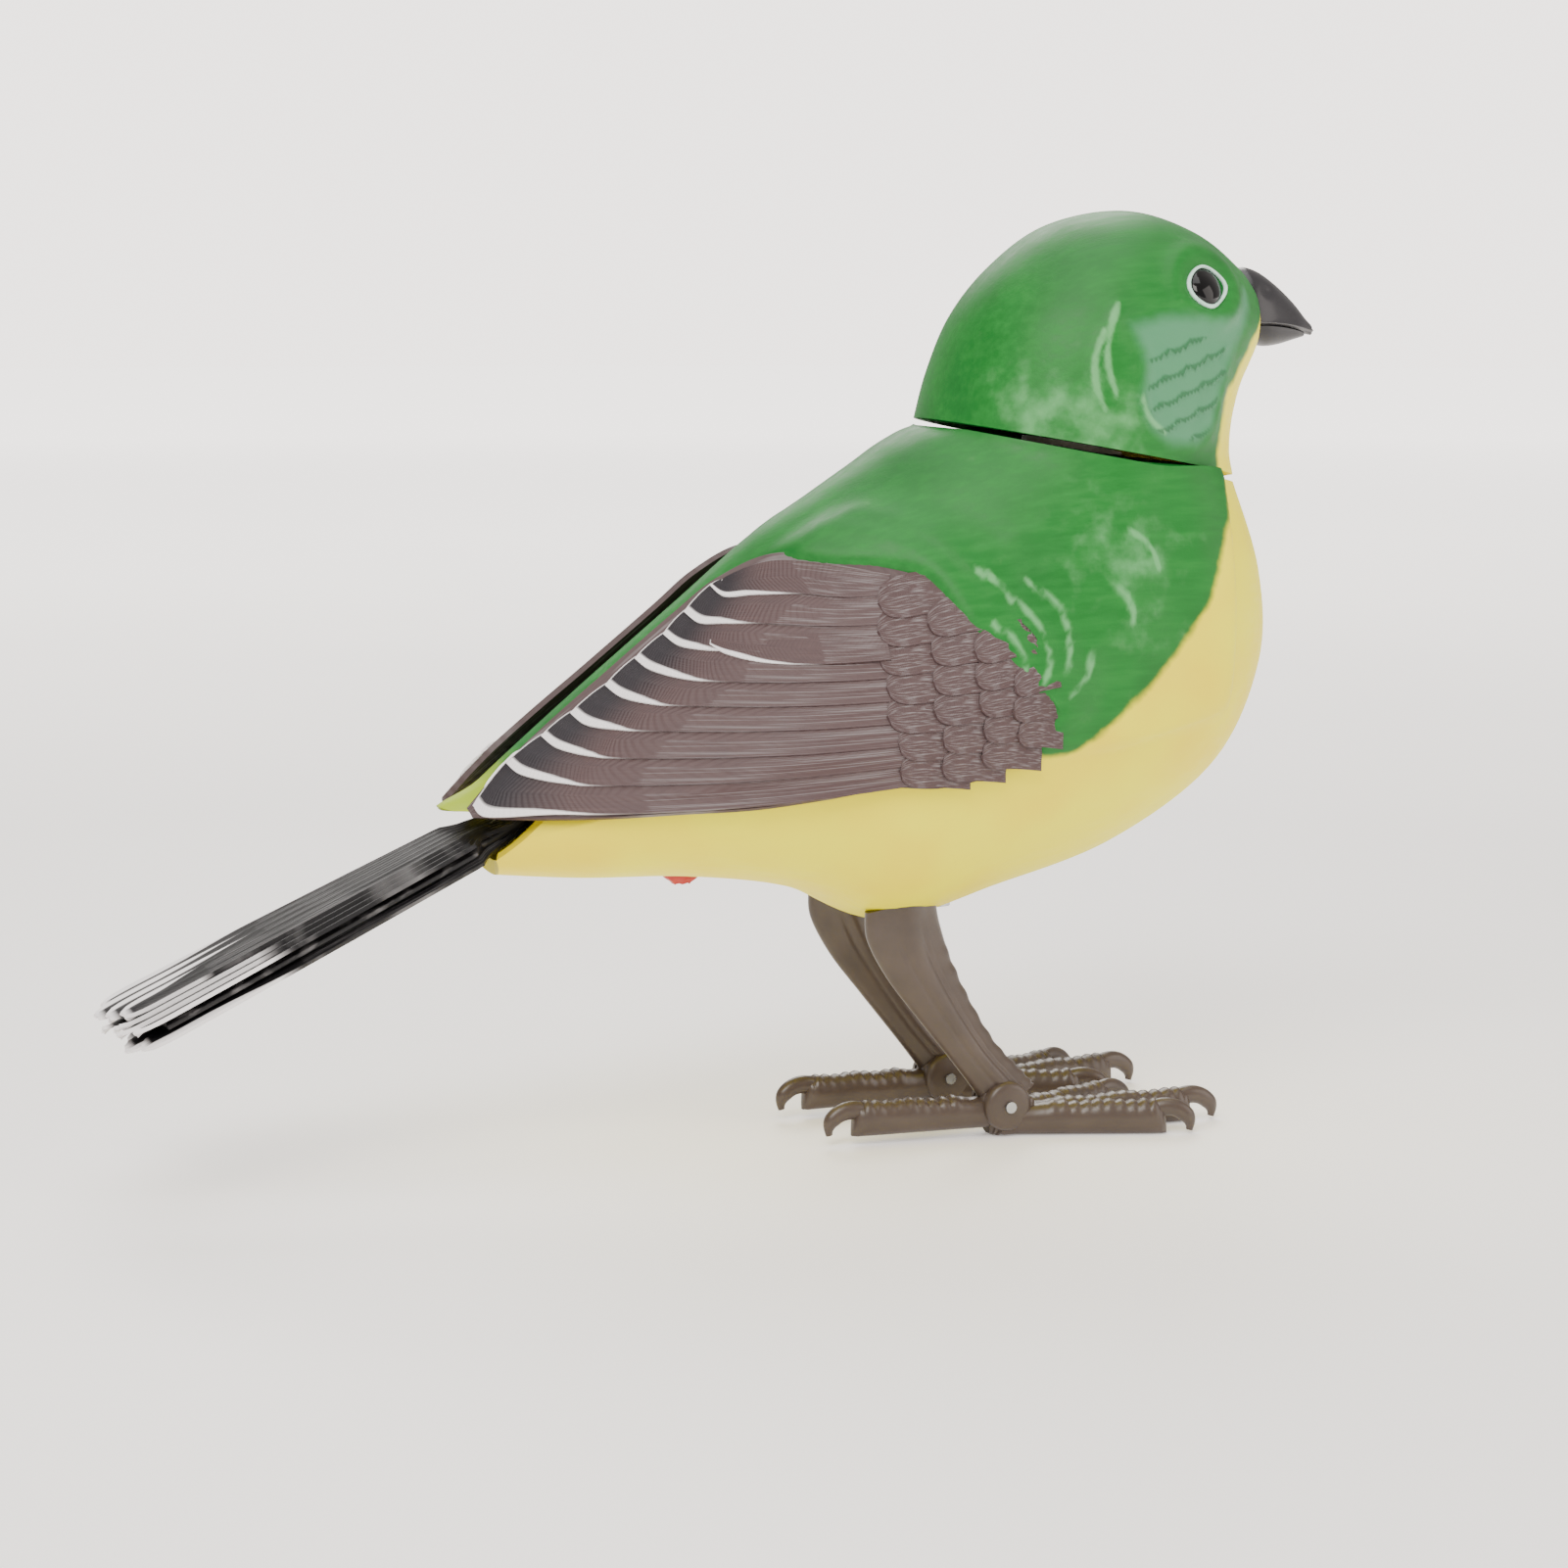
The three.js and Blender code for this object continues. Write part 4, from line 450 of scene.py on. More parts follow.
def sprayed_plumage(name):
    """ABS shells sprayed green and yellow with a soft edge between, then dry-brushed: satin, streaked along
    the feathers and paler on raised strokes. Painted shade darkens the carved grooves of the cheek, and a
    painted highlight makes the upper throat paler."""
    made, tree, shader, where = new_finish(name, {"Specular IOR Level": 0.3})
    # brush streaks about 0.7 mm wide and 7 mm long, lying down the back
    laid = add_node(tree, "Mapping", {"Rotation": (0, math.radians(-38), 0), "Scale": (0.12, 1, 1)},
                    {"Vector": where})
    streaks = add_node(tree, "TexNoise", {"Scale": 1000 / 1.1, "Detail": 5.0, "Roughness": 0.62},
                       {"Vector": laid.outputs["Vector"]})
    clouds = add_node(tree, "TexNoise", {"Scale": 1000 / 16, "Detail": 2.0}, {"Vector": where})
    wander = add_node(tree, "TexNoise", {"Scale": 1000 / 3.2, "Detail": 4.0}, {"Vector": where})
    lit = add_node(tree, "MapRange", {"From Min": 0.42, "From Max": 0.75, "To Max": 0.45},
                   {"Value": streaks.outputs["Fac"]})
    green = add_node(tree, "Mix", {"data_type": "RGBA", 6: linear(GREEN), 7: linear(GREEN_LIT)},
                     {0: lit.outputs["Result"]})
    deep = add_node(tree, "MapRange", {"From Min": 0.5, "From Max": 0.75, "To Max": 0.55},
                    {"Value": clouds.outputs["Fac"]})
    green = add_node(tree, "Mix", {"data_type": "RGBA", 7: linear(GREEN_DEEP)},
                     {0: deep.outputs["Result"], 6: green.outputs[2]})

    def layer(under, attribute, low, high, amount, shade, broken):
        """Lays a shade over what is under it, where a painted zone's depth passes low to high."""
        depth = add_node(tree, "Attribute", {"attribute_name": attribute})
        ragged = add_node(tree, "Math", {"operation": "MULTIPLY_ADD", 1: broken, 2: -0.5 * broken},
                          {0: wander.outputs["Fac"]})
        edge = add_node(tree, "Math", {"operation": "ADD"},
                        {0: depth.outputs["Fac"], 1: ragged.outputs["Value"]})
        share = add_node(tree, "MapRange",
                         {"From Min": low, "From Max": high, "To Max": amount,
                          "interpolation_type": "SMOOTHSTEP"},
                         {"Value": edge.outputs["Value"]})
        settings, links = {"data_type": "RGBA"}, {0: share.outputs["Result"], 6: under}
        (settings if isinstance(shade, list) else links)[7] = shade
        return add_node(tree, "Mix", settings, links).outputs[2]

    warm = add_node(tree, "MapRange", {"From Min": 0.4, "From Max": 0.7}, {"Value": clouds.outputs["Fac"]})
    yellow = add_node(tree, "Mix", {"data_type": "RGBA", 6: linear(YELLOW), 7: linear(YELLOW_WARM)},
                      {0: warm.outputs["Result"]})
    # painted highlight: the yellow turns paler up the throat, towards the green
    yellow = layer(yellow.outputs[2], "throat_highlight", 0.0, 1.0, 0.75, linear(YELLOW_HIGHLIGHT), 0.5)
    painted = layer(green.outputs[2], "cheek", -0.8, 1.6, 0.9, linear(CHEEK), 1.6)
    painted = layer(painted, "pale", 0.2, 1.0, 0.6, linear(STROKE), 1.3)
    # painted shade: darker green along the carved grooves between the cheek scales
    painted = layer(painted, "groove", 0.15, 0.75, 0.8, linear("#1f5f35"), 0.3)
    painted = layer(painted, "lime", 0.1, 1.0, 1.0, linear(LIME), 0.6)
    painted = layer(painted, "yellow", -0.55, 0.75, 1.0, yellow, 1.5)
    tree.links.new(painted, shader.inputs["Base Color"])
    gloss = add_node(tree, "MapRange", {"From Min": 0.3, "From Max": 0.7, "To Min": 0.4, "To Max": 0.56},
                     {"Value": streaks.outputs["Fac"]})
    tree.links.new(gloss.outputs["Result"], shader.inputs["Roughness"])
    ridges = add_node(tree, "Bump", {"Strength": 0.25, "Distance": 0.14 * MM},
                      {"Height": streaks.outputs["Fac"]})
    grain_bump(tree, shader, where, 0.35, 0.03, 0.5, ridges.outputs["Normal"])
    return made


def painted_feather(name, shade, dark, tip, roughness, band, barb):
    """Moulded feathers, sprayed and edged by brush: matt vanes with fine barbs, darker tips and white rims
    that thin out towards the root."""
    made, tree, shader, where = new_finish(name, {"Specular IOR Level": 0.4})
    vane = add_node(tree, "UVMap", {"uv_map": "UVMap"})
    parts = add_node(tree, "SeparateXYZ", (), {"Vector": vane.outputs["UV"]})
    clouds = add_node(tree, "TexNoise", {"Scale": 1000 / 5, "Detail": 5.0, "Roughness": 0.65},
                      {"Vector": where})
    fibres = add_node(tree, "Mapping", {"Scale": (5, 26, 1)}, {"Vector": vane.outputs["UV"]})
    streaks = add_node(tree, "TexNoise", {"Scale": 1.0, "Detail": 4.0}, {"Vector": fibres.outputs["Vector"]})
    colour = add_node(tree, "Mix", {"data_type": "RGBA", 6: linear(shade), 7: linear(dark)},
                      {0: streaks.outputs["Fac"]})
    dusty = add_node(tree, "MapRange", {"From Min": 0.5, "From Max": 0.8, "To Max": 0.5},
                     {"Value": clouds.outputs["Fac"]})
    colour = add_node(tree, "Mix", {"data_type": "RGBA", 7: linear(dark)},
                      {0: dusty.outputs["Result"], 6: colour.outputs[2]})
    tips = add_node(tree, "Attribute", {"attribute_name": "tip"})
    colour = add_node(tree, "Mix", {"data_type": "RGBA", 7: linear(tip)},
                      {0: tips.outputs["Fac"], 6: colour.outputs[2]})
    rims = add_node(tree, "Attribute", {"attribute_name": "rim"})
    # the brushed rim narrows as the rim value falls
    width = add_node(tree, "Math", {"operation": "MULTIPLY", 1: band}, {0: rims.outputs["Fac"]})
    inside = add_node(tree, "Math", {"operation": "SUBTRACT"},
                      {0: width.outputs["Value"], 1: parts.outputs["Y"]})
    cap = add_node(tree, "Math", {"operation": "MULTIPLY_ADD", 1: 3.0, 2: -2.93}, {0: parts.outputs["X"]})
    cap = add_node(tree, "Math", {"operation": "MULTIPLY"}, {0: cap.outputs["Value"], 1: rims.outputs["Fac"]})
    inside = add_node(tree, "Math", {"operation": "MAXIMUM"},
                      {0: inside.outputs["Value"], 1: cap.outputs["Value"]})
    rough_edge = add_node(tree, "Math", {"operation": "MULTIPLY_ADD", 1: 0.05, 2: -0.025},
                          {0: streaks.outputs["Fac"]})
    inside = add_node(tree, "Math", {"operation": "ADD"},
                      {0: inside.outputs["Value"], 1: rough_edge.outputs["Value"]})
    white = add_node(tree, "MapRange", {"From Min": 0.0, "From Max": 0.05, "To Max": 0.96},
                     {"Value": inside.outputs["Value"]})
    colour = add_node(tree, "Mix", {"data_type": "RGBA", 7: linear("#f2eff0")},
                      {0: white.outputs["Result"], 6: colour.outputs[2]})
    tree.links.new(colour.outputs[2], shader.inputs["Base Color"])
    gloss = add_node(tree, "MapRange", {"To Min": roughness * 0.85, "To Max": roughness * 1.15},
                     {"Value": streaks.outputs["Fac"]})
    tree.links.new(gloss.outputs["Result"], shader.inputs["Roughness"])
    # barbs run out slantwise from the shaft, a fiftieth of the feather's length apart
    fold = add_node(tree, "Math", {"operation": "SUBTRACT", 1: 0.5}, {0: parts.outputs["Y"]})
    fold = add_node(tree, "Math", {"operation": "ABSOLUTE"}, {0: fold.outputs["Value"]})
    slant = add_node(tree, "Math", {"operation": "MULTIPLY_ADD", 1: 0.1},
                     {0: fold.outputs["Value"], 2: parts.outputs["X"]})
    barbs = add_node(tree, "Math", {"operation": "MULTIPLY", 1: 300.0}, {0: slant.outputs["Value"]})
    barbs = add_node(tree, "Math", {"operation": "SINE"}, {0: barbs.outputs["Value"]})
    ribs = add_node(tree, "Bump", {"Strength": 0.4, "Distance": barb * MM},
                    {"Height": barbs.outputs["Value"]})
    vanes = add_node(tree, "Bump", {"Strength": 0.5, "Distance": 2 * barb * MM},
                     {"Height": streaks.outputs["Fac"], "Normal": ribs.outputs["Normal"]})
    tree.links.new(vanes.outputs["Normal"], shader.inputs["Normal"])
    return made


# Sprayed and dry-brushed ABS: satin, with streaks that follow the carved plumage.
shell_paint = sprayed_plumage("sprayed_abs_plumage")
# Moulded ABS wing, grey-brown spray: matt vanes, charcoal tips, brushed white rims.
wing_paint = painted_feather("sprayed_abs_wing_feathers", "#55403f", "#403032", "#1b151c", 0.55, 0.21, 0.06)
# Black ABS tail with brushed white rims: a low sheen that runs along each feather.
tail_paint = painted_feather("moulded_abs_tail_feathers", "#19181a", "#101011", "#131215", 0.4, 0.3, 0.01)
# Moulded brown ABS feet: semi-gloss, mottled by the flow of the plastic, bright on the ribs.
leg_plastic = plain_finish("moulded_brown_abs", "#50433a", "#392e27", 0.34, 5, 0.5, 0.03, specular=0.55)
# Moulded charcoal ABS beak: semi-gloss with long soft highlights.
beak_plastic = plain_finish("moulded_charcoal_abs", "#222126", "#161518", 0.32, 6, 0.5, 0.015, (0.3, 1, 1),
                            coat=0.1)
# Polished black acrylic bead: a mirror-like point of light.
eye_gloss = plain_finish("polished_black_acrylic", "#050506", "#030304", 0.1, 3, 1.5, 0.002, specular=0.35)
# Hand-painted mint enamel on the eyelid: thin, glossy, slightly uneven.
lid_paint = plain_finish("brushed_mint_enamel", "#cfeee0", "#a9d3c0", 0.35, 1.2, 0.4, 0.02)
# Moulded red ABS switch knob: saturated, glossy.
red_plastic = plain_finish("moulded_red_abs", "#c81c06", "#a01204", 0.3, 3, 0.4, 0.01, coat=0.2)
INNER_FINISHES = {
    "shell_paint": shell_paint, "head_paint": shell_paint, "wing_paint": wing_paint, "tail_paint": tail_paint,
    "leg_plastic": leg_plastic, "beak_plastic": beak_plastic, "eye_gloss": eye_gloss,
                  "red_plastic": red_plastic,
    # Nickel-plated steel pins, cans and screws: bright, with fine drawn lines.
    "steel": plain_finish("drawn_nickel_plated_steel", "#c6c8cb", "#9fa2a6", 0.28, 2, 0.25, 0.01,
                          (1, 0.08, 1), metallic=1.0),
    # Undyed acetal gears and frames: waxy off-white.
    "natural_plastic": plain_finish("moulded_natural_acetal", "#e9e4d4", "#d8d1bd", 0.42, 4, 0.6, 0.02),
    # Enamelled copper winding: orange-brown turns about 0.3 mm apart.
    "copper_wire": plain_finish("enamelled_copper_wire", "#b5622d", "#7a3a17", 0.3, 1, 0.3, 0.12,
                                (0.15, 0.15, 1), metallic=1.0),
    # Hobbed brass pinion: warm and bright with turning marks.
    "brass": plain_finish("hobbed_brass", "#d0ab62", "#a8853f", 0.3, 1.5, 0.3, 0.01, metallic=1.0),
    # Green solder mask on glass-epoxy board: glossy with a woven ripple.
    "board": plain_finish("solder_masked_board", "#1f6a3a", "#17522c", 0.35, 3, 0.5, 0.02),
    # PVC wire insulation: soft sheen.
    "red_wire": plain_finish("pvc_wire_insulation", "#b3261a", "#8c1a12", 0.45, 3, 0.4, 0.01),
    # Moulded black ABS: matt inside parts.
    "black_plastic": plain_finish("moulded_black_abs", "#1b1a1b", "#121112", 0.5, 4, 0.4, 0.02),
}
for part in frame["record"]["subparts"]:
    shown = frame["nodes"][part["node"]].data
    shown.materials.clear()
    shown.materials.append(INNER_FINISHES[part["material_slot"]])

# ------------------------------------------------------------ camera, floor and light
bpy.ops.object.camera_add(location=(-0.18125, -0.46459, 0.11673))
camera = bpy.context.object
camera.rotation_euler = (Vector((0.006454, 0,
                                 0.046306)) - camera.location).to_track_quat("-Z", "Y").to_euler()
camera.data.sensor_width, camera.data.lens = 36, 89.94
bpy.context.scene.camera = camera

clear_selection()
bpy.ops.mesh.primitive_circle_add(vertices=96, radius=3, fill_type="NGON", location=(0, 0, -0.0001))
floor = bpy.context.object
floor.name = "floor"
glowing_laminate = plain_finish("satin_white_laminate", "#fbf9f7", "#f6f3f0", 0.5, 300, 3, 0.01)
# painted light: the floor glows faintly near the toy, lifting its shade, and brighter further out where it
# fades into the backdrop
glowing_laminate.node_tree.nodes["Principled BSDF"].inputs["Emission Color"].default_value = linear("#fdf8f4")
away = add_node(glowing_laminate.node_tree, "VectorMath", {"operation": "LENGTH"},
                {0: glowing_laminate.node_tree.nodes["Texture Coordinate"].outputs["Object"]})
lift = add_node(glowing_laminate.node_tree, "MapRange",
                {"From Min": 0.3, "From Max": 1.8, "To Min": 0.3, "To Max": 2.6},
                {"Value": away.outputs["Value"]})
glowing_laminate.node_tree.links.new(lift.outputs["Result"],
                             glowing_laminate.node_tree.nodes["Principled BSDF"].inputs["Emission Strength"])
floor.data.materials.append(glowing_laminate)
for name, at, size, power, shade in [("key", (-0.55, -0.75, 0.95), 0.7, 15, "#fffaf4"),
                                     ("fill", (0.9, -0.7, 0.5), 0.9, 6, "#fff6f0"),
                                     ("rim", (0.25, 0.9, 0.8), 0.7, 9, "#fffdf8"),
                                     ("top", (0.0, 0.0, 1.2), 0.9, 7, "#ffffff")]:
    bpy.ops.object.light_add(type="AREA", location=at)
    lamp = bpy.context.object
    lamp.name = name
    lamp.data.size, lamp.data.energy, lamp.data.color = size, power, linear(shade)[:3]
    lamp.rotation_euler = (Vector((0, 0, 0.05)) - lamp.location).to_track_quat("-Z", "Y").to_euler()
world = bpy.data.worlds.new("studio")
bpy.context.scene.world = world
world.use_nodes = True
backdrop = world.node_tree.nodes["Background"]
backdrop.inputs["Color"].default_value = linear("#fdf6f1")
# the backdrop looks near white, while it lights the toy softly
seen = add_node(world.node_tree, "LightPath")
glow = add_node(world.node_tree, "MapRange", {"To Min": 0.62, "To Max": 3.2},
                {"Value": seen.outputs["Is Camera Ray"]})
world.node_tree.links.new(glow.outputs["Result"], backdrop.inputs["Strength"])


# ------------------------------------------------------------ body and head shells
SECTIONS = {}  # shell sections already worked out


def shell_point(stations, lean, u, a):
    """A point of a shell's skin in mm: u along it, a round it."""
    key = (len(stations), round(u, 5))
    if key not in SECTIONS:
        SECTIONS[key] = along(stations, u)
    tx, tz, bx, bz, share, roof = SECTIONS[key]
    s = math.sin(a)
    y = share * HALF_WIDTH * width_share(s, lean, roof)
    return (tx + bx) / 2 + (tx - bx) / 2 * s, math.copysign(y, math.cos(a)), (tz + bz) / 2 + (tz - bz) / 2 * s


def from_neck(ahead, up, y=0):
    return (NECK_AT[0] + NECK_AHEAD[0] * ahead + NECK_UP[0] * up, y,
            NECK_AT[1] + NECK_AHEAD[1] * ahead + NECK_UP[1] * up)


def body_place(u, a):
    x, y, z = shell_point(BODY, BODY_LEAN, u, a)
    drop = NECK_SEAM / 2 * ramp(u, 0.78, 1)
    return x - drop * NECK_UP[0] - 2.2 * (1 - ramp(u, 0, 0.06)) * ramp(math.sin(a), 0.8,
                                                                       1), y, z - drop * NECK_UP[1]


def head_place(u, a):
    x, y, z = shell_point(HEAD, HEAD_LEAN, u, a)
    lift = NECK_SEAM / 2 * (1 - ramp(u, 0, 0.12))
    return x + lift * NECK_UP[0], y, z + lift * NECK_UP[1]


def carve_body(p):
    """How far the body's carving stands out, in mm, at points in mm."""
    side_on = p[:, [0, 2]]
    flank = ramp(np.abs(p[:, 1]), 4, 9)
    cape = zone_depth(side_on, CAPE_ZONE)
    out = 1.5 * ramp(cape, -0.9, 0.9) * (1 - ramp(cape, 1.5, 11)) * ramp(p[:, 2], 50, 54) * flank
    for line in TUFT_LINES:
        out += 0.3 * np.exp(-(line_reach(side_on, line) / 1.1) ** 2) * flank
    for line in SHOULDER_STROKES:
        out += 0.16 * np.exp(-(line_reach(side_on, line) / 0.7) ** 2) * flank
    height, _ = scales(side_on, 5.2, 4.6, 4.2, math.radians(118))
    out += 0.13 * (height - 0.6) * ramp(cape, 3,
                                        8) * (1 - ramp(zone_depth(side_on, YELLOW_ZONE), -5,
                                                       -1)) * (1 - ramp(p[:, 2], 80, 86))
    return out


def carve_head(p):
    side_on = p[:, [0, 2]]
    flank = ramp(np.abs(p[:, 1]), 5, 9)
    height, _ = cheek_scales(side_on)
    inside = ramp(zone_depth(side_on, CHEEK_SCALES), -0.5, 0.8) * flank
    out = 0.6 * (height - 0.6) * inside
    out += 0.35 * np.exp(-(np.abs(zone_depth(side_on,
                                             CHEEK_ZONE)) / 1.2) ** 2) * flank * (1 - ramp(p[:, 0], 60, 64))
    for line in HEAD_STROKES:
        out += 0.2 * np.exp(-(line_reach(side_on, line) / 0.65) ** 2) * flank
    eye = np.hypot((p[:, 0] - EYE_AT[0]) / 1.1, p[:, 2] - EYE_AT[1])
    out += (0.5 * np.exp(-((eye - 4.6) / 1.3) ** 2) - 0.5 * (1 - ramp(eye, 2.2, 3.6))) * flank
    return out


def carve(piece, relief):
    normals = np.empty(len(piece.data.vertices) * 3)
    piece.data.vertices.foreach_get("normal", normals)
    p = points_of(piece)
    set_points(piece, p + normals.reshape(-1, 3) * relief(p / MM)[:, None] * MM)


def paint(piece):
    """Marks where each colour of the plumage lies."""
    p = points_of(piece) / MM
    side_on = p[:, [0, 2]]
    flank = ramp(np.abs(p[:, 1]), 4, 8)
    head = from_seam(p) > 0
    yellow = zone_depth(side_on, YELLOW_ZONE)
    mark(piece, "yellow", np.where(head, yellow + 1.2 * (1 - ramp(np.abs(p[:, 1]), 2,
                                                                  9)) - 1.6 * ramp(p[:, 2], 103, 107),
                                   yellow))
    # painted highlight on the throat: paler higher up the yellow and nearer the green
    mark(piece, "throat_highlight", ramp(p[:, 2], 62, 98) * ramp(-yellow, -9, 1))
    mark(piece, "cheek", np.where(head, zone_depth(side_on, CHEEK_ZONE) * flank - 3 * (1 - flank), -9))
    strokes = np.zeros(len(p))
    for line in SHOULDER_STROKES + HEAD_STROKES:
        strokes = np.maximum(strokes, np.exp(-(line_reach(side_on, line) / 0.5) ** 2))
    nape = np.exp(-((from_seam(p) - 3) / 6) ** 2) * head * ramp(p[:, 0], 28, 34) * (1 - ramp(p[:, 0], 44, 52))
    shoulder = np.exp(-(np.hypot(p[:, 0] - 44, p[:, 2] - 76) / 9) ** 2) * ~head
    mark(piece, "pale", np.maximum(strokes * flank, nape * 0.6 + shoulder * 0.5))
    # painted shade: the rims of the carved cheek scales, where the grooves lie, are marked for darker green
    _, rim = cheek_scales(side_on)
    mark(piece, "groove", np.where(head, rim * ramp(zone_depth(side_on, CHEEK_SCALES), -0.4, 0.6) * flank, 0))
    mark(piece, "lime", ramp(-p[:, 0], 27, 38) * ~head)


def from_seam(p):
    return (p[:, 0] - NECK_AT[0]) * NECK_UP[0] + (p[:, 2] - NECK_AT[1]) * NECK_UP[1]


def halve(piece, stem, body, slot):
    """Splits a shell along its moulding seam and paints both halves."""
    for side_name, side in SIDES.items():
        half = copy_of(piece, f"{stem}_{side_name}_moulding")
        take(half)
        bpy.ops.object.mode_set(mode="EDIT")
        bpy.ops.mesh.select_all(action="SELECT")
        bpy.ops.mesh.bisect(plane_co=(0, side * 0.04 * MM, 0), plane_no=(0, side, 0), clear_inner=True)
        bpy.ops.mesh.select_mode(type="EDGE")
        bpy.ops.mesh.select_all(action="DESELECT")
        bpy.ops.mesh.select_non_manifold(extend=False)
        bpy.ops.mesh.fill(use_beauty=False)
        bpy.ops.mesh.select_all(action="SELECT")
        bpy.ops.mesh.fill_holes(sides=0)
        bpy.ops.object.mode_set(mode="OBJECT")
        paint(half)
        smooth(half, 35)
        hand_over(half, shell_paint, body, slot, f"{stem}_{side_name}")
    bpy.data.objects.remove(piece)


body_shell = tube("body_skin", 256, 206, body_place, ends="end")
carve(body_shell, carve_body)
modify(body_shell, "SOLIDIFY", thickness=SHELL_WALL * MM, offset=-1)
speaker_way = (math.sin(SPEAKER_TILT), 0, -math.cos(SPEAKER_TILT))
openings = [
    rod("neck_bore", from_neck(0, -6), (NECK_UP[0], 0, NECK_UP[1]), 10, 5.6, 48),
    block("switch_slot", (KNOB_X[0] - 0.3, KNOB_X[1] + 2.3), (-KNOB_HALF - 0.3, KNOB_HALF + 0.3), (30, 42)),
    rod("microphone_hole", (from_neck(3.5, -14)[0], -4, 24), (0, 0, 1), 16, 0.6, 16),
] + [rod("screw_recess", (x, 6, z), (0, 1, 0), 30, 2.2, 32) for x, z in SHELL_SCREWS]
for u, y in [(4, 2.4), (0, 4.6), (-4, 2.4)]:
    for side in SIDES.values():
        start = Vector((SPEAKER_FACE[0] + u * math.cos(SPEAKER_TILT), side * y,
                        SPEAKER_FACE[1] + u * math.sin(SPEAKER_TILT)))
        openings.append(rod("sound_hole", start - Vector(speaker_way) * 4, speaker_way, 16, 0.8, 20))
# the rump is cut down at both sides where the tail comes out between the wing tips
RUMP_CUT_X, RUMP_CUT_Z, RUMP_CUT_FOOT = (-46, -28.6), (38.6, 45.5), -35.8
rump_slot = block("rump_slot", RUMP_CUT_X, (-14, 14), RUMP_CUT_Z)
front, low = (RUMP_CUT_X[0] + RUMP_CUT_X[1]) / 2 * MM, sum(RUMP_CUT_Z) / 2 * MM
set_points(rump_slot, [(RUMP_CUT_FOOT * MM if x > front and z < low else x, y, z)
                       for x, y, z in points_of(rump_slot)])
trim(body_shell, rump_slot, solver="MANIFOLD")
trim(body_shell, join("openings", openings))
battery_door = copy_of(body_shell, "battery_door_moulding")
trim(body_shell, block("door_tool", (DOOR_X[0] - 0.3, DOOR_X[1] + 0.3), (-DOOR_HALF - 0.3, DOOR_HALF + 0.3),
                       (10, 45), 0.8))
trim(battery_door, block("door_tool", DOOR_X, (-DOOR_HALF, DOOR_HALF), (10, 45), 0.8), "INTERSECT")
screw_seat = rod("screw_seat", (DOOR_SCREW_X, 0, 24), (0, 0, 1), 20, 1.2)
finger_notch = block("finger_notch", (DOOR_X[1] - 4.6, DOOR_X[1] - 3.4), (-2.8, 2.8), (10, 34), 0.4)
trim(battery_door, join("door_openings", [screw_seat, finger_notch]))
paint(battery_door)
hand_over(smooth(battery_door, 35), shell_paint, "battery_door", "shell_paint", "battery_door")
body_skin = BVHTree.FromObject(body_shell, bpy.context.evaluated_depsgraph_get())
halve(body_shell, "body_shell", "body", "shell_paint")

head_shell = tube("head_skin", 256, 190, head_place, ends="none")
carve(head_shell, carve_head)
head_skin = BVHTree.FromObject(head_shell, bpy.context.evaluated_depsgraph_get())
modify(head_shell, "SOLIDIFY", thickness=SHELL_WALL * MM, offset=-1)
halve(head_shell, "head_shell", "head", "head_paint")

# ------------------------------------------------------------ eyes
EYE_HALF = (2.85, 2.6)  # along and up


def on_face(side, x, z, out):
    """The head's face at a place seen from one side, moved out."""
    hit = head_skin.ray_cast(Vector((x, side * 60, z)) * MM, Vector((0, -side, 0)))
    return hit[0] / MM + hit[1].normalized() * out if hit[0] else Vector((x, side * 10, z))


def bead_shape(side):
    """A domed oval bead."""
    def place(u, a):
        turn = math.pi / 2 * (1 - u)
        r = math.sin(turn) if u < 1 else 0.02
        ring = on_face(side, EYE_AT[0] + EYE_HALF[0] * r * math.cos(a),
                       EYE_AT[1] + EYE_HALF[1] * r * math.sin(a), 0)
        base = on_face(side, *EYE_AT, 0)
        flat = base + (ring - base) * 0.9
        return flat + Vector((0, side, 0)) * (1.35 * math.cos(turn) - 0.1)
    return place


for side_name, side in SIDES.items():
    bead = tube(f"eye_{side_name}_bead", 48, 20, bead_shape(side))
    hand_over(smooth(bead, 60), eye_gloss, "head", "eye_gloss", f"eye_{side_name}")
    clear_selection()
    bpy.ops.mesh.primitive_torus_add(major_segments=72, minor_segments=14, major_radius=1, minor_radius=0.1)
    lid = bpy.context.object
    lid.name = f"eye_{side_name}_lid"
    placed = []
    for x, y, z in points_of(lid):
        a, r = math.atan2(y, x), math.hypot(x, y)
        corner = 1 + 0.13 * abs(math.cos(a)) ** 6 - 0.04 * abs(math.sin(2 * a))
        spread = (1 + (r - 1) * 0.9) * corner
        spot = on_face(side, EYE_AT[0] + EYE_HALF[0] * spread * math.cos(a),
                       EYE_AT[1] + EYE_HALF[1] * spread * math.sin(a), z * 3 + 0.2)
        placed.append(spot * MM)
    set_points(lid, placed)
    hand_over(smooth(outward(lid), 60), lid_paint, "head", "head_paint")

# ------------------------------------------------------------ beak
UPPER_BEAK = [
    (69.4, 105.6, 5.6, 4.2), (71.6, 105.4, 6.8, 4.8), (72.8, 105.2, 7, 4.9), (74.6, 105.1, 6.4, 4.5),
    (77, 104.9, 5, 3.6), (79.6, 104.5, 3.2, 2.4), (81.6, 104.1, 1.5, 1.2), (82.7, 103.9, 0.7, 0.5)]
LOWER_BEAK = [
    (70.6, 104.5, 1.9, 2.8), (73.8, 104.6, 2.5, 3.6), (75.4, 104.5, 2.7, 3.5), (77.4, 104.3, 2.3, 2.8),
    (79.8, 103.9, 1.3, 1.7), (81.4, 103.5, 0.5, 0.7)]


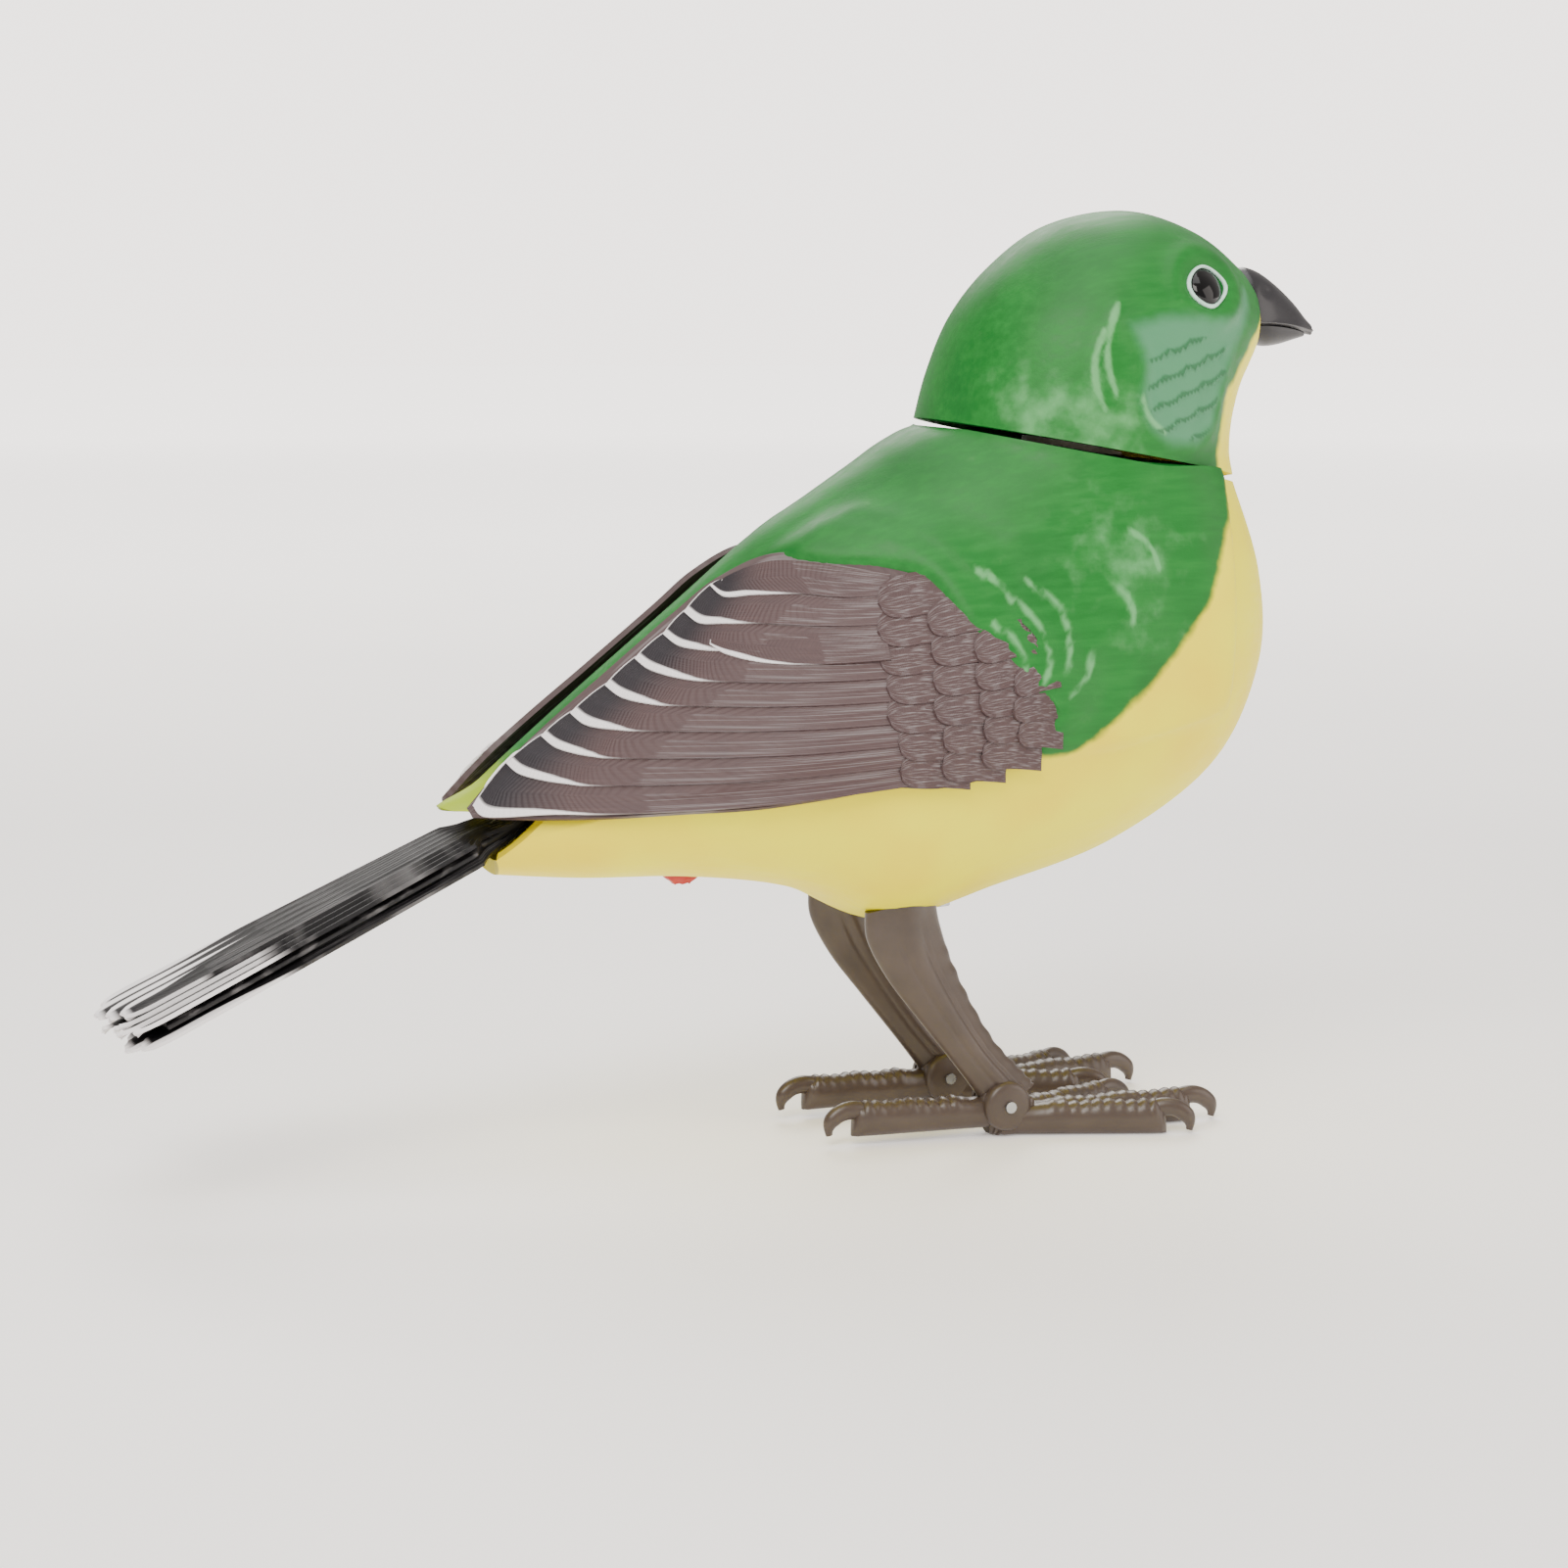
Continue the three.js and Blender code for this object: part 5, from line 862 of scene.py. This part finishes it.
def upper_beak_place(u, a):
    x, edge, height, half = along(UPPER_BEAK, u)
    c, s = math.cos(a), math.sin(a)
    pinch = 1 - 0.16 * max(0, s) ** 2  # the ridge along the top
    lip = 0.35 * math.exp(-((s + 0.12) / 0.22) ** 2)
    off_nostril = (x - 74.2) ** 2 + ((edge + height * s - 109) / 0.7) ** 2
    nostril = 0.45 * math.exp(-off_nostril) if s > 0 else 0
    y = (half * pinch + lip - nostril) * c
    return x, y, edge + (height * s ** 0.92 if s > 0 else 0.7 * s)


def lower_beak_place(u, a):
    x, edge, depth, half = along(LOWER_BEAK, u)
    c, s = math.cos(a), math.sin(a)
    return x, half * c, edge - (depth * (-s) ** 0.9 if s < 0 else 0.35 * s * (1 - 2 * (1 - abs(c))))


hand_over(smooth(tube("upper_beak_moulding", 64, 60, upper_beak_place), 50), beak_plastic, "head",
          "beak_plastic", "upper_beak")
lower_beak = tube("lower_jaw", 56, 46, lower_beak_place)
jaw_arm = block("jaw_arm", (66, 73.2), (-2.4, 2.4), (101.4, 104.2), 0.5)
hand_over(smooth(join("lower_beak_moulding", [lower_beak, jaw_arm]), 50), beak_plastic, "lower_beak",
          "beak_plastic", "lower_beak")


# ------------------------------------------------------------ feathers
def blade(name, lower, upper, place, lift, steps, bulge=0.0, rounding=0.0, rim=0.0, tip=(0.8, 1.0)):
    """One feather between two edge curves: place(p, q, out) sets a point down, lift(u, v) raises it."""
    clear_selection()
    bpy.ops.mesh.primitive_grid_add(x_subdivisions=steps[0], y_subdivisions=steps[1], size=1, calc_uvs=True)
    piece = bpy.context.object
    piece.name = name
    placed, us = [], []
    for gx, gy, _ in points_of(piece):
        u, v = gx + 0.5, gy + 0.5
        low, high = Vector(lower(u)), Vector(upper(u))
        if rounding and u > 1 - rounding:
            closing = math.sqrt(max(0, 1 - ((u - 1 + rounding) / rounding) ** 2))
            middle = (low + high) / 2
            low, high = middle + (low - middle) * closing, middle + (high - middle) * closing
        spot = low + (high - low) * v
        if bulge:
            ahead = (Vector(lower(1)) - Vector(lower(0.97))).normalized()
            spot += ahead * bulge * (1 - (2 * v - 1) ** 2) * ramp(u, 0.85, 1)
        shaft = 0.16 * math.exp(-((v - 0.45) / 0.07) ** 2) * (1 - 0.7 * u)
        placed.append(Vector(place(spot.x, spot.y, lift(u, v) + shaft)) * MM)
        us.append(u)
    set_points(piece, placed)
    us = np.array(us)
    mark(piece, "rim", ramp(us, 1 - rim, 1 - 0.35 * rim) if rim else us * 0)
    mark(piece, "tip", ramp(us, *tip))
    return piece


def thicken(piece, towards, thickness):
    """Gives a laid sheet a wall on the side away from its face."""
    take(piece)
    facing = np.empty(len(piece.data.polygons) * 3)
    piece.data.polygons.foreach_get("normal", facing)
    if (facing.reshape(-1, 3) @ np.array(towards)).mean() < 0:
        bpy.ops.object.mode_set(mode="EDIT")
        bpy.ops.mesh.select_all(action="SELECT")
        bpy.ops.mesh.flip_normals()
        bpy.ops.object.mode_set(mode="OBJECT")
    return modify(piece, "SOLIDIFY", thickness=thickness * MM, offset=-1)


# Long wing feathers from the lowest up: tip x, z, a place along the lower edge x, z, root x, z.
LONG_FEATHERS = [
    (-37.4, 46.2, -20.9, 46.2, 14, 49), (-32.8, 51.2, -21.7, 49.4, 15, 51.7),
    (-28.3, 54.4, -19.2, 52.6, 16, 54.3), (-24.5, 57.1, -15.7, 55.8, 16.6, 57),
    (-19.9, 60.4, -11.7, 58.8, 17, 59.7), (-15.9, 63.6, -6.8, 61.7, 17, 62.5),
    (-12.1, 66.5, -4.6, 65.3, 16, 65.5), (-9.2, 69.2, -1.4, 68.6, 15, 68.7),
    (-5.7, 72.4, 3.8, 72.2, 13, 72)]
# tip x, length, half width, count, lowest z, highest z, how far out
COVERT_ROWS = [
    (11.5, 9.5, 2.5, 7, 51.6, 71.8, 0.45), (17, 9, 2.3, 6, 52, 69.4, 0.62),
    (22.6, 8.5, 2.2, 5, 53.2, 66, 0.72), (27.2, 6.5, 2, 3, 55.6, 61.6, 0.78)]


def wing_lie(t, s, share):
    """Place on the wing: t along from the tip, s down from the upper edge, share of its thickness."""
    ux, uy, uz = along(WING_UPPER, t)
    lx, ly, lz = along(WING_LOWER, t)
    x, z = ux + (lx - ux) * s, uz + (lz - uz) * s
    inner = max(uy + (ly - uy) * s, half_width(BODY, BODY_LEAN, x, z) + WING_GAP)
    edge = min(1, 0.35 + 4 * min(t, 1 - t))
    thick = WING_THICK * (0.45 + 0.55 * edge * min(1, 0.3 + 3.2 * min(s, 1 - s)))
    return x, inner + thick * share, z


def feather_edge(tip_x, tip_z, fade_x, fade_z, root_x, root_z):
    hook = [(root_x, root_z), ((root_x + fade_x) / 2, (root_z + fade_z) / 2 - 0.3), (fade_x, fade_z),
            ((fade_x + tip_x) / 2, (fade_z * 0.75 + tip_z * 0.25) - 0.25), (tip_x + 1.3, tip_z - 0.75),
            (tip_x, tip_z + 0.5)]
    return lambda u: along(hook, u)


clear_selection()
bpy.ops.mesh.primitive_grid_add(x_subdivisions=84, y_subdivisions=34, size=1, calc_uvs=True)
panel = bpy.context.object
panel.name = "wing_panel"
set_points(panel, [Vector(wing_lie(x + 0.5, 0.5 - y, 0.52)) * MM for x, y, _ in points_of(panel)])
wing_skin = BVHTree.FromObject(panel, bpy.context.evaluated_depsgraph_get())
mark(panel, "rim", np.zeros(len(panel.data.vertices)))
mark(panel, "tip", np.full(len(panel.data.vertices), 0.15))
thicken(panel, (0, 1, 0), 0.8)


def on_wing(x, z, out):
    """The wing's face at a place seen from the side, moved out. Off its edge, the depth comes from nearby."""
    heart = Vector((4, 60))
    seek = Vector((x, z))
    for _ in range(14):
        hit = wing_skin.ray_cast(Vector((seek.x, 60, seek.y)) * MM, Vector((0, -1, 0)))
        if hit[0]:
            return x, hit[0].y / MM + out, z
        seek += (heart - seek).normalized() * 0.35
    return x, 10, z


def raised_edge(high, last):
    """A feather's upper edge, which slips under the next feather unless it is the last."""
    def edge(u):
        x, z = high(u)
        return x + 0.25, z + 0.9 * (1 - 0.75 * float(ramp(u, 0.8, 1))) * (not last)
    return edge


def long_lift(u, v):
    rooted, tipped = float(ramp(u, 0.05, 0.4)), float(ramp(u, 0.8, 1))
    return 0.08 + (0.62 - 0.5 * v) * (0.35 + 0.65 * rooted) * (1 - 0.5 * tipped)


def covert_edge(middle, shift):
    def edge(u):
        x, z = along(middle, u)
        return x, z + shift
    return edge


blades = [panel]
edges = [feather_edge(*row) for row in LONG_FEATHERS]
top_edge = [(14, 74.6), (8, 75.6), (2.8, 76), (-0.5, 75.4), (-3.4, 74.2), (-4.4, 73.6)]
edges.append(lambda u: along(top_edge, u))
for i in range(len(LONG_FEATHERS)):
    high = raised_edge(edges[i + 1], i == len(LONG_FEATHERS) - 1)
    blades.append(blade(f"long_feather_{i}", edges[i], high, on_wing, long_lift,
                        (64, 12), bulge=0.15, rim=0.64, tip=(0.5, 0.82)))
# one short feather with a white rim lies over the long ones
inner_low = [(12, 64.4), (4.5, 63.9), (-2, 64), (-6, 64.9), (-7.6, 66)]
inner_high = [(12, 67.2), (4.5, 67.4), (-1, 67.5), (-5, 67.4), (-7.2, 66.8)]
blades.append(blade("short_feather", lambda u: along(inner_low, u), lambda u: along(inner_high, u), on_wing,
                    lambda u, v: 0.45 + 0.3 * (1 - v), (48, 10), rim=0.75, tip=(2, 3)))
rng = random.Random(7)
for tip_at, length, half, count, z_low, z_high, out in COVERT_ROWS:
    for k in range(count):
        z = z_low + (z_high - z_low) * k / (count - 1)
        fan = (k / (count - 1) - 0.5) * 3.2
        shift = 0.9 * math.sin(math.pi * k / (count - 1)) + rng.uniform(-0.5, 0.5)
        middle = [(tip_at + length - shift, z + 0.6 * fan), (tip_at + length / 2 - shift, z + 0.3 * fan),
                  (tip_at - shift, z - 0.6)]
        blades.append(blade("covert", covert_edge(middle, -half), covert_edge(middle, half), on_wing,
                            lambda u, v: out * (0.35 + 0.65 * u) + 0.25 * (1 - v) - 0.1, (22, 10),
                            rounding=0.4, tip=(2, 3)))
for piece in blades[1:]:
    thicken(piece, (0, 1, 0), 0.3)
wing_left = smooth(join("wing_left_moulding", blades), 30)
wing_right = copy_of(wing_left, "wing_right_moulding", mirrored=True)
for side_name, piece in (("left", wing_left), ("right", wing_right)):
    hand_over(piece, wing_paint, "body", "wing_paint", f"wing_{side_name}")


# ------------------------------------------------------------ tail
def tail_lie(u, y, w):
    c, s = math.cos(TAIL_SLOPE), math.sin(TAIL_SLOPE)
    return TAIL_PIVOT[0] - u * c - w * s, y, TAIL_PIVOT[1] - u * s + w * c


def tail_half(u):
    for (a, wa), (b, wb) in zip(TAIL_WIDTH, TAIL_WIDTH[1:]):
        if u <= b:
            return wa + (wb - wa) * float(ramp(u, a, b)) if b - a < 3 else wa + (wb - wa) * (u - a) / (b - a)
    return TAIL_WIDTH[-1][1]


TAIL_TIPS = [58.2, 59.8, 58.8, 57.4]  # from the outer feather in
TAIL_START = 3.2


def tail_edge(tip_at, half_share):
    """A feather's edge at a share of the fan's half width, from the root to its tip."""
    def edge(u):
        at = TAIL_START + (tip_at - TAIL_START) * u
        return at, half_share * tail_half(at)
    return edge


def tail_face(face):
    return lambda p, q, out: tail_lie(p, q, face * out)


def tail_lift(u, v):
    return 0.8 + (0.1 + 0.62 * (1 - v) ** 1.5) * float(ramp(u, 0, 0.12))


vanes = []
for face in (1, -1):
    upward = (face * -math.sin(TAIL_SLOPE), 0, face * math.cos(TAIL_SLOPE))
    for side in (1, -1):
        for k, tip_at in enumerate(TAIL_TIPS):
            middle_one = k == len(TAIL_TIPS) - 1
            outer = 1 - k / len(TAIL_TIPS)
            inner = -0.03 if middle_one else 1 - (k + 1.3) / len(TAIL_TIPS)
            vane = blade("tail_feather", tail_edge(tip_at, side * outer), tail_edge(tip_at, side * inner),
                         tail_face(face), tail_lift, (60, 12),
                         rounding=0.07, rim=0.22 if middle_one else 0.4, tip=(0.6, 0.95))
            vanes.append(thicken(vane, upward, 0.5))


def core_place(u, a):
    """The plate inside the fan and its root, which takes the pin and the push rod."""
    at = -1.5 + 56 * u
    half = 3.5 if at < 2.6 else tail_half(at) - 0.6
    c, s = math.cos(a), math.sin(a)
    thick = 0.62 + 0.5 * (1 - float(ramp(at, 3, 9)))
    return tail_lie(at, half * math.copysign(abs(c) ** 0.5, c), thick * math.copysign(abs(s) ** 0.5, s))


tail_core = tube("tail_core", 40, 80, core_place)
tail_hub = rod("tail_hub", (TAIL_PIVOT[0], -3.5, TAIL_PIVOT[1]), (0, 1, 0), 7, 1.9, 32, 0.25)
tail_arm = block("tail_arm", (TAIL_PIVOT[0] - 1.1, TAIL_PIVOT[0] + 1.1), (-1, 1),
                 (TAIL_PIVOT[1], TAIL_PIVOT[1] + 5.5), 0.3)
tail = join("tail_moulding", [tail_core, tail_hub, tail_arm] + vanes)
for name in ("rim", "tip"):
    if not tail.data.attributes.get(name):
        mark(tail, name, np.zeros(len(tail.data.vertices)))
hand_over(smooth(tail, 35), tail_paint, "tail", "tail_paint", "tail")

# ------------------------------------------------------------ feet
# share of the pad, height, half width; the first is a length before the ankle instead
TOE_FORM = [(-1.5, 4.6, 2.3), (0.3, 4.5, 2.07), (0.62, 4.6, 1.93), (0.94, 4.7, 1.84)]
KNUCKLE_START = 1.5  # the hind toe begins past its knuckle
CLAW_REACH = 5.2
TOE_END = [(0.6, 4.2, 1.5), (1.3, 3.0, 0.9), (1.6, 1.2, 0.25)]  # past the pad, height, half width


def toe_pieces(length, degrees, raised, knuckle=False):
    """A toe with its scutes and hooked claw, lying out from the ankle at an angle."""
    turn = math.radians(degrees)
    pad = length - CLAW_REACH
    start = KNUCKLE_START if knuckle else TOE_FORM[0][0]
    form = [(start, *TOE_FORM[0][1:])]
    form += [(share * pad, height, half) for share, height, half in TOE_FORM[1:]]
    form += [(pad + past, height, half) for past, height, half in TOE_END]

    def out(d, side, z):
        return (TOE_PIVOT[0] + d * math.cos(turn) - side * math.sin(turn),
                d * math.sin(turn) + side * math.cos(turn), z)

    def toe_place(u, a):
        d, h, w = along(form, u)
        c, s = math.cos(a), math.sin(a)
        # the pads swell a little, and ridged scutes 1.5 mm apart cross the top
        swell = 1 + 0.03 * math.cos(2 * math.pi * d / (pad / 3)) * ramp(u, 0.1, 0.2)
        scute = 0.42 * abs(math.sin(math.pi * d / 1.5)) ** 0.8 * max(0, s) ** 0.5 * float(ramp(u, 0.12, 0.2))
        top = (h - 0.35) * swell - 0.1
        z = raised + top * (0.5 + 0.5 * s) + scute - 0.15
        return out(d, w * swell * math.copysign(abs(c) ** 0.8, c), max(z, raised + 0.02))

    def claw_place(u, a):
        bend = math.radians(152 - 166 * u)
        r = 1.35 - 0.35 * u - 0.55 * float(ramp(u, 0.7, 1))
        d = pad + 1.6 + (3.1 + r * math.cos(a)) * math.cos(bend)
        z = 0.9 + (2.5 + r * math.cos(a)) * math.sin(bend)
        return out(d, r * 0.85 * math.sin(a), max(z, 0.03) + raised)

    return [tube("toe", 28, 128, toe_place), tube("claw", 20, 26, claw_place)]


def shank_place(u, a):
    x, z, depth, width = along(SHANK, u)
    groove = math.exp(-((abs(math.sin(a)) - 0.93) / 0.05) ** 2) * float(ramp(u, 0.12, 0.3))
    ridges = 1 + 0.07 * math.cos(4 * a) + 0.04 * math.cos(2 * a + 0.6) - 0.1 * groove
    scute = 1 + 0.025 * math.sin(u * 26 * math.pi) * max(0, math.cos(a)) * float(ramp(u, 0.25, 0.4))
    ahead = depth * math.cos(a) * ridges * scute
    return x + ahead, width * math.sin(a) * ridges, z + ahead * 0.35


def move_out(piece, side):
    """Sets a piece of a foot on the right or left leg."""
    p = points_of(piece)
    p[:, 1] = side * (p[:, 1] + LEG_Y * MM)
    set_points(piece, p)
    return outward(piece)


for side_name, side in SIDES.items():
    foot = [tube("shank", 96, 90, shank_place),
            rod("ankle_hub", (TOE_PIVOT[0], -3, TOE_PIVOT[1]), (0, 1, 0), 6, 3.3, 48, 0.9),
            block("heel", (32.2, 37.2), (-2.4, 2.4), (0.05, 5), 0.7)]
    for length, degrees in FRONT_TOES:
        foot += toe_pieces(length, degrees, 0)
    # the hind toe's knuckle turns in a slot at the back of the hub
    foot[1] = trim(foot[1], block("slot", (28, TOE_PIVOT[0] + 0.2), (-1.6, 1.6), (-2, 10)))
    leg = join(f"leg_{side_name}_moulding", [move_out(piece, side) for piece in foot])
    hand_over(smooth(leg, 38), leg_plastic, "body", "leg_plastic", f"leg_{side_name}")
    knuckle = rod("knuckle", (TOE_PIVOT[0] - 0.2, -1.3, TOE_PIVOT[1]), (0, 1, 0), 2.6, 3.1, 40, 0.3)
    hind = join(f"hind_toe_{side_name}_moulding",
                [move_out(piece, side) for piece in [knuckle] + toe_pieces(*HIND_TOE, knuckle=True)])
    hand_over(smooth(hind, 38), leg_plastic, "body", "leg_plastic", f"hind_toe_{side_name}")


# ------------------------------------------------------------ switch knob
def knob_place(u, a):
    """A ribbed oval slider, rounded at its foot."""
    c, s = math.cos(a), math.sin(a)
    rounding = math.sqrt(max(0.02, 1 - ramp(1 - u, 0.62, 1.0) ** 2 * 0.75)) if u < 0.4 else 1
    rib = 0.16 * max(0, math.cos(9 * c)) * (u < 0.3)
    middle, half = (KNOB_X[0] + KNOB_X[1]) / 2, (KNOB_X[1] - KNOB_X[0]) / 2
    x = middle + half * math.copysign(abs(c) ** 0.75, c) * rounding
    return x, KNOB_HALF * math.copysign(abs(s) ** 0.75, s) * rounding, KNOB_LOW + 0.2 + 4.2 * u - rib


hand_over(smooth(tube("switch_knob_moulding", 72, 24, knob_place), 45), red_plastic, "switch", "red_plastic",
          "switch_knob")
